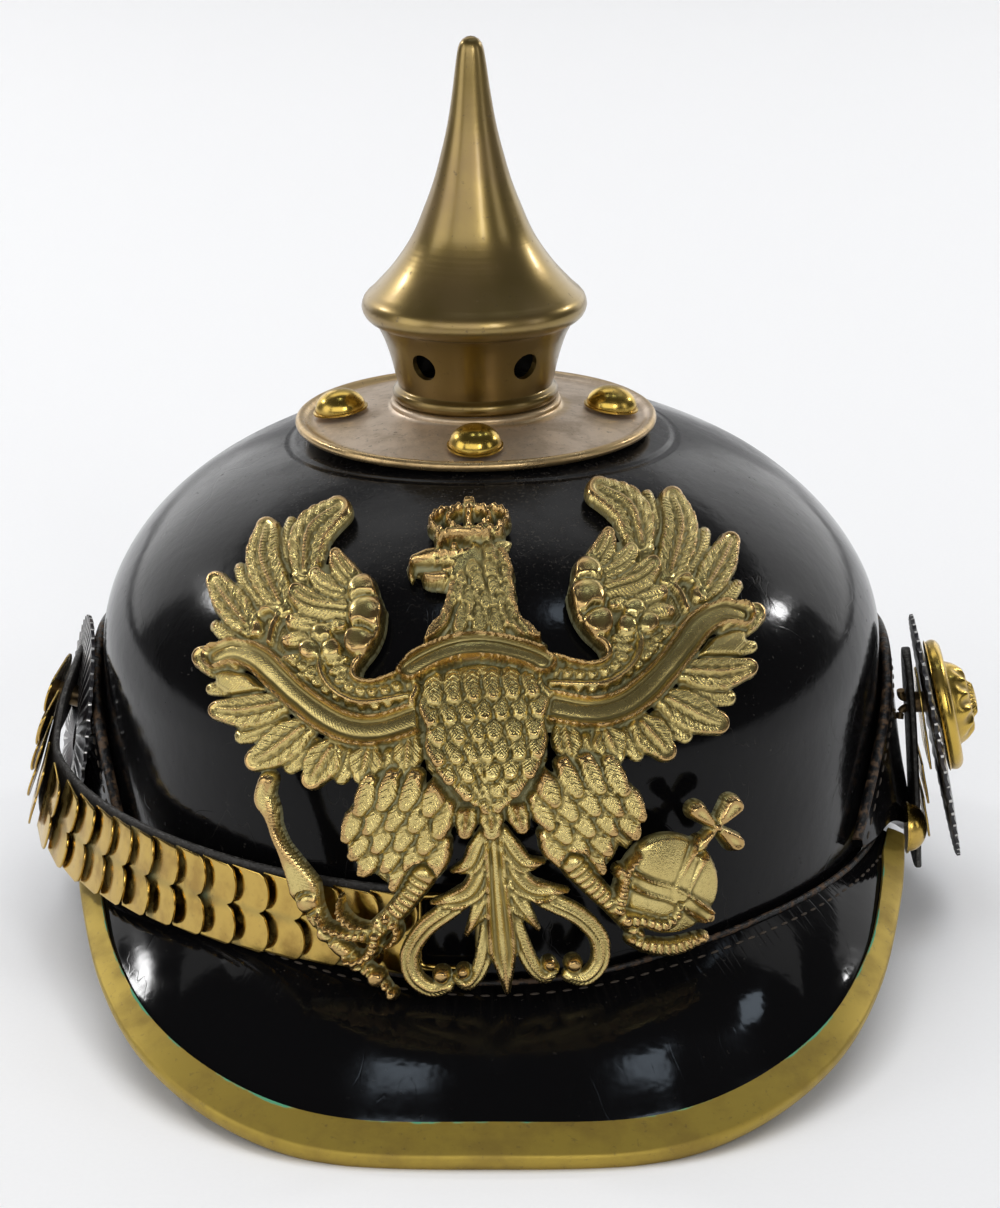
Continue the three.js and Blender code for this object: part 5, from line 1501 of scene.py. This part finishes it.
def lay_wing(relief, side):
    """One wing: its long feathers, the coverts, the ribbon and the shoulder."""
    def at(points):
        return [np.array((out * side, up), float) for out, up in points]

    def outward(way):
        return np.array([-way[1], way[0]]) * side

    def feathers(rows, form):
        for row in rows:
            relief.feather(*at((row.root, row.bend, row.tip)), row.half, row.lift, row.rise, form)

    relief.patch(at(WING_CORE), 2.0, 0.3, 0.7)
    feathers(NARROW_FEATHERS, strands)
    feathers(LONG_FEATHERS, blade)
    feathers(COVERTS, strands)
    relief.patch(at(RIBBON_FOLD), 0.8, 1.0, 0.9, 0.6)
    for place, way in spaced(at(UNDER_FEATHERS), 11):
        out = outward(way)
        relief.feather(place - out * 3.4, place - out, place + out * 1.2, 1.9, 1.3, 0.9, plume)
    relief.stroke(at(RIBBON_CURL.path), RIBBON_CURL.halves, rod, 1.2, 0.9, 1.0)
    relief.stroke(at(RIBBON.path), RIBBON.halves, rimmed, 1.3, 1.6, 0.9)
    for place, way in spaced(at(SCALLOPS), 9):
        out = outward(way)
        relief.feather(place - out * 2.6, place - out * 0.6, place + out * 1.3, 1.5, 1.6, 0.9, plume)
    relief.stroke(at(STEM.path), STEM.halves, rod, 1.7, 1.0, 0.9)
    for knob in TREFOIL:
        relief.ball(knob, 2.2, side=side)
    relief.stroke(at(SHOULDER.path), SHOULDER.halves, rod, 1.5, 1.9, 1.0, 0.02)
    for knob in SHOULDER_KNOBS:
        relief.ball(knob, 2.5, side=side)


def lay_body(relief):
    """The breast, the neck and the ribbon across them."""
    relief.patch(HEAD, 2.4, 0.8, 2.6, 0.5)
    relief.patch(BODY, 3.0, 0.8, 2.4)
    for row in BREAST_ROWS[::-1]:
        for k in range(row.count):
            root = np.array([row.spread * ((k + 0.5) / row.count - 0.5), row.up])
            way = np.array([-row.lean * np.sign(root[0]), -1.0])
            way /= np.hypot(*way)
            relief.feather(root, root + way * 3.2, root + way * 6.8, 2.35, 2.2, 1.7, plume)
    for knob in CHEEKS:
        relief.ball(knob, 2.4, 0.9, 0.01)
    for tuft in NECK_TUFTS:
        turn = math.radians(tuft.turn)
        root = np.array([tuft.across, tuft.up])
        reach = np.array([math.sin(turn), -math.cos(turn)]) * tuft.length
        relief.feather(root, root + reach / 2, root + reach, tuft.half, 3.0, 1.1, plume)
    for fold in CHEST_FOLDS:
        relief.stroke(fold.path, fold.halves, rod, 2.0, 1.2, 0.8)
    relief.stroke(CHEST_RIBBON.path, CHEST_RIBBON.halves, rimmed, 2.6, 1.7, 0.9)


def lay_head(relief):
    """Beak, eye, brow and the pierced crown above them."""
    relief.patch(BEAK, 1.4, 2.2, 2.0, 0.9)
    relief.patch(LOWER_BEAK, 0.9, 2.0, 1.6, 0.9)
    relief.stroke(MOUTH.path, MOUTH.halves, bevelled, 1.6, -0.6, 0.9)
    relief.stroke(EYE_SOCKET.path, EYE_SOCKET.halves, bevelled, 2.3, -0.3, 1.0)
    relief.ball(EYE, 2.1)
    relief.stroke(EYELID.path, EYELID.halves, rod, 3.0, 0.9, 0.9)
    relief.stroke(BROW.path, BROW.halves, rod, 3.6, 1.4, 0.9)
    for arch in DIADEM_ARCHES:
        relief.stroke(arch.path, arch.halves, ringed, 1.8, 1.5, 0.9)
    relief.patch(DIADEM_TOP, 0.7, 2.0, 1.6, 0.9)
    relief.stroke(DIADEM_BAND.path, DIADEM_BAND.halves, rimmed, 2.4, 1.7, 0.9)
    for place, _ in spaced(DIADEM_BAND.path, 7):
        relief.ball(Knob(*place, 0.62, 0.8), 3.1)


def lay_legs(relief):
    """Feathered thighs and scaly shanks."""
    for outline, side in ((LEFT_THIGH, -1), (RIGHT_THIGH, 1)):
        relief.patch(outline, 3.2, 0.9, 2.0)
        way = np.array([side * 0.42, -0.91])
        for row in range(5, -1, -1):
            for k in range(7):
                across = 5.4 + 4.5 * k + 2.25 * (row % 2) + 0.8 * row
                root = np.array([across * side, -5.6 - 4.1 * row - 0.026 * (across - 18) ** 2])
                tip = root + way * 7.2
                depth = float(depth_in(outline, *(tip - way * 1.2)))
                if depth > 0.0:
                    lift = 2.0 + 0.12 * min(depth, 5.0)
                    relief.feather(root, root + way * 3.4, tip, 2.45, lift, 1.7, plume)
    for shank in SHANKS:
        relief.stroke(shank.path, shank.halves, ringed, 1.0, 2.0, 0.7)


def lay_tail(relief):
    """Leaves and scrolls round a stem, under a cup of petals."""
    for scroll in SCROLLS:
        relief.stroke(scroll.path, scroll.halves, channel, 0.9, 1.5, 0.6)
    for leaf in LEAVES:
        relief.stroke(leaf.path, leaf.halves, channel, 1.1, 1.6, 0.4)
    relief.stroke(TAIL_STEM.path, TAIL_STEM.halves, channel, 1.3, 1.7, 0.7)
    for knob in SCROLL_BALLS:
        relief.ball(knob, 1.1)
    for petal in CUP_PETALS:
        middle = np.add(petal.root, petal.tip) / 2
        relief.feather(petal.root, middle, petal.tip, petal.half, 1.9, 1.4, blade)


def lay_regalia(relief):
    """Sceptre and orb, and the toes that hold them."""
    relief.stroke(SCEPTRE.path, SCEPTRE.halves, rod, 0.9, 1.8, 0.8)
    for knob in SCEPTRE_BEADS:
        relief.ball(knob, 1.4)
    for toe in SCEPTRE_TOES:
        relief.stroke(toe.path, toe.halves, ringed, 1.6, 1.9, 0.8)
    relief.stroke(SLAB.path, SLAB.halves, ringed, 0.8, 1.5, 0.5)
    relief.ball(ORB, 1.0, 0.4)
    for band in ORB_BANDS:
        relief.stroke(band.path, band.halves, rimmed, 2.3, 1.7, 0.9, 0.25)
    for arm in CROSS_ARMS:
        relief.stroke(arm.path, arm.halves, bevelled, 1.0, 1.5, 0.9)
    relief.ball(CROSS_MIDDLE, 2.0)
    for toe in ORB_TOES:
        relief.stroke(toe.path, toe.halves, ringed, 2.2, 1.7, 0.8)


def blurred(field, passes):
    for _ in range(passes):
        for axis in (0, 1):
            field = 0.5 * field + 0.25 * (np.roll(field, 1, axis) + np.roll(field, -1, axis))
    return field


def eagle_relief(sizes):
    relief = Relief(61.5, -53.5, 56.5, sizes.relief_step / MM)
    for side in (-1, 1):
        lay_wing(relief, side)
    lay_legs(relief)
    lay_tail(relief)
    lay_body(relief)
    lay_head(relief)
    lay_regalia(relief)
    stamped = relief.height
    crisp = 0.9 * (stamped - blurred(stamped, 5)) + 0.35 * (stamped - blurred(stamped, 24))
    relief.height = np.maximum(relief.height + crisp, 0.3)
    edge = np.clip(relief.inside / (sizes.relief_edge / MM), 0, 1)
    edge = edge * edge * (3 - 2 * edge)
    relief.height = blurred(0.35 + (relief.height - 0.35) * (0.15 + 0.85 * edge), 1)
    return relief


def pressed(across, up, height):
    """Presses points of the flat drawing on to the crown: each meets the wall along the plane's normal."""
    lean, tilt = math.radians(PLATE_LEAN), math.radians(PLATE_TILT)
    upper = np.clip((up - DROP_FROM) / DROP_OVER, 0, 1)
    up = up - PLATE_DROP * upper * upper * (3 - 2 * upper)
    u = across * math.cos(tilt) - up * math.sin(tilt) + PLATE_ACROSS
    w = across * math.sin(tilt) + up * math.cos(tilt) + PLATE_UP
    rise = np.clip((w - PRESS_FOOT) / (PRESS_TOP - PRESS_FOOT), 0, 1)
    near = PLATE_NEAR_FOOT + (PLATE_NEAR_TOP - PLATE_NEAR_FOOT) * rise * rise * (3 - 2 * rise)
    inward = np.array([0.0, math.cos(lean), -math.sin(lean)])
    upward = np.array([0.0, math.sin(lean), math.cos(lean)])
    start = np.multiply.outer(w, upward) - PRESS_FAR * inward
    start[..., 0] += u
    axes = np.stack([HALF_WIDTH + near, HALF_LENGTH + near, DOME + near], axis=-1)

    def meet(origin, way, scale):
        origin, way = origin / scale, way / scale
        a = (way * way).sum(-1)
        b = (origin * way).sum(-1)
        c = (origin * origin).sum(-1) - 1
        return (-b - np.sqrt(np.maximum(b * b - a * c, 0))) / a

    foot = np.array([0.0, 0.0, DOME_FOOT])
    level = np.array([1.0, 1.0, 0.0])
    dome = start + meet(start - foot, inward, axes)[..., None] * inward
    wall = start + meet(start * level, inward * level, axes)[..., None] * inward
    point = np.where(dome[..., 2:] >= DOME_FOOT, dome, wall)
    normal = (point - foot) / axes**2
    normal[..., 2] = np.maximum(normal[..., 2], 0)
    normal /= np.linalg.norm(normal, axis=-1, keepdims=True)
    return point + normal * height[..., None]


def eagle_mesh(relief):
    """The eagle as a mesh: the relief in front, a plain back and a rim between them."""
    columns, rows = relief.u.shape[0] - 1, relief.u.shape[1] - 1
    inside = relief.inside
    kept = inside[:-1, :-1] + inside[1:, :-1] + inside[:-1, 1:] + inside[1:, 1:] > 0
    bm = bmesh.new()
    bmesh.ops.create_grid(bm, x_segments=columns, y_segments=rows, size=0.5)

    def cell(point):
        return (point.x + 0.5) * columns, (point.y + 0.5) * rows

    outside = []
    for face in bm.faces:
        column, row = cell(face.calc_center_median())
        if not kept[int(column), int(row)]:
            outside.append(face)
    bmesh.ops.delete(bm, geom=outside, context="FACES")
    slope_u, slope_w = np.gradient(inside, relief.step)
    steep = np.maximum(slope_u**2 + slope_w**2, 0.25)
    u, w = relief.u.copy(), relief.w.copy()
    for vert in bm.verts:
        if vert.is_boundary:
            column, row = (round(place) for place in cell(vert.co))
            move = np.clip(inside[column, row] / steep[column, row], -1, 1)
            u[column, row] -= move * slope_u[column, row]
            w[column, row] -= move * slope_w[column, row]
    bmesh.ops.solidify(bm, geom=bm.faces[:], thickness=0.2)
    front = pressed(u, w, relief.height)
    back = pressed(u, w, np.zeros(u.shape) - 0.2)
    wide = blurred(relief.height, 24)
    near = blurred(relief.height, 6)
    cavity = np.clip((near - relief.height) * 2.0 + (wide - relief.height) * 0.4, 0, 1)
    broad = blurred(wide, 50)
    stamped = relief.height
    crest = (stamped - broad) * 0.3 + (stamped - wide) * 0.5 + (stamped - near) * 0.7
    crest = np.clip(crest - 0.15, 0, 1)
    layers = {name: bm.verts.layers.float.new(name) for name in ("cavity", "crest", "plain")}
    chart = bm.loops.layers.uv.new("chart")
    fields = {"cavity": cavity, "crest": crest, "plain": relief.plain}
    behind = set()
    for vert in bm.verts:
        column, row = (round(place) for place in cell(vert.co))
        for name, layer in layers.items():
            vert[layer] = fields[name][column, row]
        for loop in vert.link_loops:
            loop[chart].uv = relief.along[column, row] / 10, relief.beside[column, row] / 10
        if vert.co.z < -0.1:
            behind.add(vert)
            vert.co = back[column, row]
        else:
            vert.co = front[column, row]
    back_edges = [edge for edge in bm.edges if behind.issuperset(edge.verts)]
    bm.normal_update()
    bmesh.ops.dissolve_limit(
        bm, angle_limit=math.radians(2.5), use_dissolve_boundaries=False,
        verts=list(behind), edges=back_edges,
        delimit=set())
    return bm


class PieceOperator:
    """What the operators share: the sizes, the colours and the finishes."""

    bl_options = {"REGISTER", "UNDO"}

    def finishes(self, *makers):
        colours = bpy.context.scene.helmet_colours
        return [shared(make, colours) for make in makers]


class HELMET_OT_crown(PieceOperator, bpy.types.Operator):
    """Builds the lacquered leather crown"""

    bl_idname = "helmet.crown"
    bl_label = "Crown"

    def execute(self, context):
        sizes = context.scene.helmet_sizes
        finishes = self.finishes(crown_lacquer, inner_leather)
        dress(crown_mesh(sizes), "crown_shell", finishes, ["crown"])
        return {"FINISHED"}


class HELMET_OT_front_visor(PieceOperator, bpy.types.Operator):
    """Builds the front visor with its seam, brass trim and studs"""

    bl_idname = "helmet.front_visor"
    bl_label = "Front visor"

    def execute(self, context):
        sizes = context.scene.helmet_sizes
        frames = visor_frames(144)
        finishes = self.finishes(visor_lacquer, inner_leather)
        dress(visor_mesh(frames), "peak", finishes, ["front_visor"])
        dress(trim_mesh(frames), "peak_trim", self.finishes(trim_brass), ["front_visor_trim"])
        welt = sizes.welt / MM
        seam = [frame.inner + frame.up * (visor_top(frame, 0.0) + 0.2 * welt) for frame in frames]
        dress(tube(seam, [welt]), "peak_welt", self.finishes(welt_leather))
        row = []
        for frame in frames:
            share = 3.6 / (frame.outer - frame.inner).length
            row.append(frame.inner.lerp(frame.outer, share) + frame.up * visor_top(frame, share))
        sewn = stitches(row, [frame.up for frame in frames], sizes)
        dress(sewn, "peak_stitches", self.finishes(thread))
        for side, word in ((-1, "left"), (1, "right")):
            place = Vector((side * TRIM_STUD["side"], TRIM_STUD["front"], TRIM_STUD["level"]))
            turn = Matrix.Rotation(math.radians(90 * side), 4, "Y")
            stud = stud_mesh(TRIM_STUD["radius"], TRIM_STUD["height"])
            moved(stud, Matrix.Translation(place) @ turn)
            dress(stud, "peak_stud_" + word, self.finishes(stud_brass), ["trim_stud_" + word])
        return {"FINISHED"}


class HELMET_OT_rear_visor(PieceOperator, bpy.types.Operator):
    """Builds the rear visor with its sewn upper edge"""

    bl_idname = "helmet.rear_visor"
    bl_label = "Rear visor"

    def execute(self, context):
        sizes = context.scene.helmet_sizes
        frames = guard_frames(168)
        finishes = self.finishes(crown_lacquer, inner_leather)
        dress(guard_mesh(frames), "neck_guard", finishes, ["rear_visor"])
        edge = [guard_point(frame, 0.0, GUARD_THICKNESS / 2) for frame in frames]
        rim = tube(edge, [GUARD_THICKNESS / 2])
        dress(rim, "neck_guard_edge", self.finishes(welt_leather))
        row = []
        for frame in frames:
            share = 3.2 / (frame.foot - frame.top).length
            row.append(guard_point(frame, min(share, 1.0), GUARD_THICKNESS))
        sewn = stitches(row, [frame.out for frame in frames], sizes)
        dress(sewn, "neck_guard_stitches", self.finishes(thread))
        return {"FINISHED"}


class HELMET_OT_spike(PieceOperator, bpy.types.Operator):
    """Builds the spike, its vented neck and the round base with its studs"""

    bl_idname = "helmet.spike"
    bl_label = "Spike"

    def execute(self, context):
        place = Matrix.Translation((SPIKE_OFFSET, 0, 0)) @ Matrix.Rotation(math.radians(SPIKE_LEAN), 4, "Y")
        spike = turned(list(even(SPIKE_OUTLINE, 72)) + [(0.0, SPIKE_OUTLINE[-1][1])], 160)
        dress(moved(spike, place), "spike_turned", self.finishes(spike_brass), ["spike"])
        neck = moved(neck_mesh(), place)
        dress(neck, "spike_vent_neck", self.finishes(spike_brass, vent_painted_shade), ["spike_neck"])
        base = turned(even(BASE_OUTLINE, 110), 192)
        dress(moved(base, place), "spike_base", self.finishes(base_brass), ["base_plate"])
        for i, word in enumerate(("front", "right", "back", "left")):
            turn = Matrix.Rotation(math.radians(90 * i), 4, "Z")
            spot = Matrix.Translation((0, -BASE_STUD["ring"], BASE_STUD["lift"]))
            slope = Matrix.Rotation(math.radians(BASE_STUD["slope"]), 4, "X")
            stud = moved(stud_mesh(BASE_STUD["radius"], BASE_STUD["height"]), place @ turn @ spot @ slope)
            name = "spike_base_stud_" + word
            dress(stud, name, self.finishes(stud_brass), ["base_stud_" + word])
        return {"FINISHED"}


class HELMET_OT_eagle(PieceOperator, bpy.types.Operator):
    """Builds the stamped eagle on the front"""

    bl_idname = "helmet.eagle"
    bl_label = "Eagle"

    def execute(self, context):
        sizes = context.scene.helmet_sizes
        eagle = eagle_mesh(eagle_relief(sizes))
        dress(eagle, "eagle_stamped", self.finishes(eagle_brass), ["eagle_plate"], 75.0)
        return {"FINISHED"}


class HELMET_OT_chin_strap(PieceOperator, bpy.types.Operator):
    """Builds both halves of the chin strap with their scales and the buckle"""

    bl_idname = "helmet.chin_strap"
    bl_label = "Chin strap"

    def execute(self, context):
        sizes = context.scene.helmet_sizes
        for word, route, bare in (("left", left_route(), BARE_LEFT), ("right", right_route(), BARE_RIGHT)):
            leather = self.finishes(strap_leather)
            dress(strap_mesh(route), "chin_strap_" + word, leather, ["strap_" + word])
            length, frame_at = route
            first = END_CENTRE + END_LENGTH - END_OVERLAP
            count = int((length - bare - first) / SCALE_PITCH) + 1
            brass = self.finishes(scale_brass)
            for k in range(count + 1):
                if k == 0:
                    scale = scale_mesh(END_LENGTH, True, sizes)
                    spot = laid(frame_at(END_CENTRE), END_LIFT, END_TILT)
                else:
                    scale = scale_mesh(SCALE_LENGTH, False, sizes)
                    spot = laid(frame_at(first + SCALE_PITCH * (k - 1)), SCALE_LIFT, SCALE_TILT)
                number = f"{word}_{k + 1:02d}"
                dress(moved(scale, spot), "scale_" + number, brass, ["chin_scale_" + number])
            if word == "left":
                end = frame_at(length)
                spot = laid(end._replace(at=end.at + end.ahead * GAP), -BUCKLE_THICKNESS / 2, 0.0)
                dress(moved(buckle_mesh(), spot), "chin_buckle", brass, ["strap_buckle"])
        return {"FINISHED"}


class HELMET_OT_cockades(PieceOperator, bpy.types.Operator):
    """Builds the pleated cockades of both sides"""

    bl_idname = "helmet.cockades"
    bl_label = "Cockades"

    def execute(self, context):
        sizes = context.scene.helmet_sizes
        for word, seat, side in (("left", COCKADE_LEFT, -1), ("right", COCKADE_RIGHT, 1)):
            turn = side * (90 - seat["lean"])
            place = Matrix.Translation((seat["side"], 0, seat["height"]))
            swing = Matrix.Rotation(math.radians(seat["swing"]), 4, "Z")
            ring = moved(cockade_mesh(sizes), place @ swing @ Matrix.Rotation(math.radians(turn), 4, "Y"))
            name = "pleated_cockade_" + word
            dress(ring, name, self.finishes(cockade_paint), ["cockade_" + word])
        return {"FINISHED"}


class HELMET_OT_fittings(PieceOperator, bpy.types.Operator):
    """Builds the posts that hold the strap and the rosette on the right"""

    bl_idname = "helmet.fittings"
    bl_label = "Posts and rosette"

    def execute(self, context):
        sizes = context.scene.helmet_sizes
        end = left_route()[1](END_CENTRE)
        turn = Vector((0, 0, 1)).rotation_difference(end.out).to_matrix().to_4x4()
        post = turned(POST_OUTLINE, 48)
        moved(post, Matrix.Translation(end.at - end.out * POST_REACH) @ turn)
        dress(post, "post_left", self.finishes(post_iron), ["side_post_left"])
        half = POST_LENGTH / 2
        shaft = [(POST_SIDE + half * t, 0.0, POST_HEIGHT) for t in (-1, -0.9, 0, 0.9, 1)]
        radii = [POST_RADIUS * share for share in (0.85, 1, 1, 1, 0.85)]
        parts = [tube(shaft, radii, 32)]
        parts += [tube(curve(way), [POST_LEGS], 16) for way in LEG_WAYS]
        dress(joined(parts), "post_right", self.finishes(post_iron), ["side_post_right"])
        place = Matrix.Translation((ROSETTE["side"], 0, POST_HEIGHT - ROSETTE["drop"]))
        turn = Matrix.Rotation(math.radians(90 - ROSETTE["lean"]), 4, "Y")
        rosette = moved(rosette_mesh(sizes), place @ turn)
        dress(rosette, "side_rosette", self.finishes(rosette_brass), ["rosette_right"])
        return {"FINISHED"}


class HELMET_OT_stage(PieceOperator, bpy.types.Operator):
    """Sets the pale floor, the lights and the camera"""

    bl_idname = "helmet.stage"
    bl_label = "Stage"

    def execute(self, context):
        sizes = context.scene.helmet_sizes
        self.lay_floor()
        self.hang_lights()
        data = bpy.data.cameras.new("camera")
        data.lens = sizes.lens
        camera = bpy.data.objects.new("camera", data)
        camera.location = CENTRE + Vector((1.93, -943.0, 380.1)) * MM
        camera.rotation_euler = (math.pi / 2 - sizes.camera_down, 0.0, 0.0)
        bpy.context.scene.collection.objects.link(camera)
        bpy.context.scene.camera = camera
        return {"FINISHED"}

    def lay_floor(self):
        """One sheet that lies flat under the helmet and curves up behind it."""
        near, far, wide, bend, flat = -3.0, 5.5, 9.0, 0.8, 2.0
        bm = bmesh.new()
        bmesh.ops.create_grid(bm, x_segments=2, y_segments=80, size=0.5)
        for vert in bm.verts:
            run = near + (vert.co.y + 0.5) * (far - near)
            turn = min(max((run - flat) / bend, 0.0), math.pi / 2)
            up = max(run - flat - bend * math.pi / 2, 0.0)
            ahead = min(run, flat) + bend * math.sin(turn)
            vert.co = Vector((vert.co.x * wide, ahead, bend * (1 - math.cos(turn)) + up))
        mesh = bpy.data.meshes.new("floor")
        bm.to_mesh(mesh)
        bm.free()
        mesh.shade_smooth()
        mesh.materials.append(self.finishes(floor_paper)[0])
        floor = bpy.data.objects.new("floor", mesh)
        bpy.context.scene.collection.objects.link(floor)

    def hang_lights(self):
        world = bpy.data.worlds.new("studio")
        world.use_nodes = True
        world.node_tree.nodes["Background"].inputs["Color"].default_value = (1.0, 1.0, 1.0, 1.0)
        world.node_tree.nodes["Background"].inputs["Strength"].default_value = 0.06
        bpy.context.scene.world = world
        bpy.context.scene.view_settings.view_transform = "Standard"
        for name, place, size, power in (
                ("window_left", (-1.15, 0.7, 0.86), (0.13, 0.13), 3.0),
                ("window_right", (1.25, 0.7, 0.78), (0.1, 0.13), 2.4),
                ("front", (0.5, -1.3, 0.75), (0.2, 0.5), 3.0),
                ("fill", (-0.3, -1.5, 0.78), (2.0, 0.95), 9.0),
                ("panel_left", (-1.4, -0.5, 0.55), (0.9, 0.9), 4.8),
                ("panel_right", (1.4, -0.6, 0.6), (0.4, 0.7), 1.2),
                ("overhead", (-0.2, 1.1, 1.6), (1.4, 0.7), 2.4),
                ("haze_left", (-0.85, 1.3, 0.55), (1.1, 0.95), 3.4),
                ("haze_right", (0.9, 1.3, 0.55), (1.1, 0.95), 3.4),
                ("skylight_left", (-0.22, 0.03, 2.0), (0.2, 0.16), 0.6),
                ("skylight_middle", (0.43, 0.1, 2.0), (0.2, 0.16), 0.6),
                ("skylight_right", (1.05, 0.56, 2.0), (0.2, 0.16), 0.6),
                ("sky", (0.0, -0.2, 2.4), (2.4, 2.4), 36.5),
                ("backdrop_glow", (0.0, 1.3, 2.0), (3.0, 1.2), 7.0)):
            data = bpy.data.lights.new(name, "AREA")
            data.shape = "RECTANGLE"
            data.size, data.size_y = size
            data.energy = power
            if name.startswith("skylight"):
                data.color = (0.72, 0.85, 1.0)
            lamp = bpy.data.objects.new(name, data)
            lamp.location = place
            aim = Vector((0.0, 2.2, 0.6)) if name == "backdrop_glow" else Vector((0.0, 0.0, 0.08))
            lamp.rotation_euler = (aim - Vector(place)).to_track_quat("-Z", "Y").to_euler()
            lamp.visible_camera = False
            lamp.visible_glossy = name != "sky"
            bpy.context.scene.collection.objects.link(lamp)


OPERATORS = (
    HELMET_OT_crown, HELMET_OT_front_visor, HELMET_OT_rear_visor, HELMET_OT_spike, HELMET_OT_eagle,
    HELMET_OT_chin_strap, HELMET_OT_cockades, HELMET_OT_fittings, HELMET_OT_stage,
)


class HELMET_PT_pieces(bpy.types.Panel):
    """Lists the pieces of the helmet, with their sizes and colours"""

    bl_idname = "HELMET_PT_pieces"
    bl_label = "Spiked Helmet"
    bl_space_type = "VIEW_3D"
    bl_region_type = "UI"
    bl_category = "Helmet"

    def draw(self, context):
        for operator in OPERATORS:
            self.layout.operator(operator.bl_idname)
        for group in (context.scene.helmet_sizes, context.scene.helmet_colours):
            column = self.layout.column()
            for name in group.__annotations__:
                column.prop(group, name)


CLASSES = (HelmetSizes, HelmetColours, *OPERATORS, HELMET_PT_pieces)


def register():
    for one in CLASSES:
        bpy.utils.register_class(one)
    bpy.types.Scene.helmet_sizes = bpy.props.PointerProperty(type=HelmetSizes)
    bpy.types.Scene.helmet_colours = bpy.props.PointerProperty(type=HelmetColours)


def unregister():
    del bpy.types.Scene.helmet_colours
    del bpy.types.Scene.helmet_sizes
    for one in reversed(CLASSES):
        bpy.utils.unregister_class(one)


def main():
    register()
    bpy.ops.helmet.crown()
    bpy.ops.helmet.front_visor()
    bpy.ops.helmet.rear_visor()
    bpy.ops.helmet.spike()
    bpy.ops.helmet.eagle()
    bpy.ops.helmet.chin_strap()
    bpy.ops.helmet.cockades()
    bpy.ops.helmet.fittings()
    bpy.ops.helmet.stage()


if __name__ == "__main__":
    main()
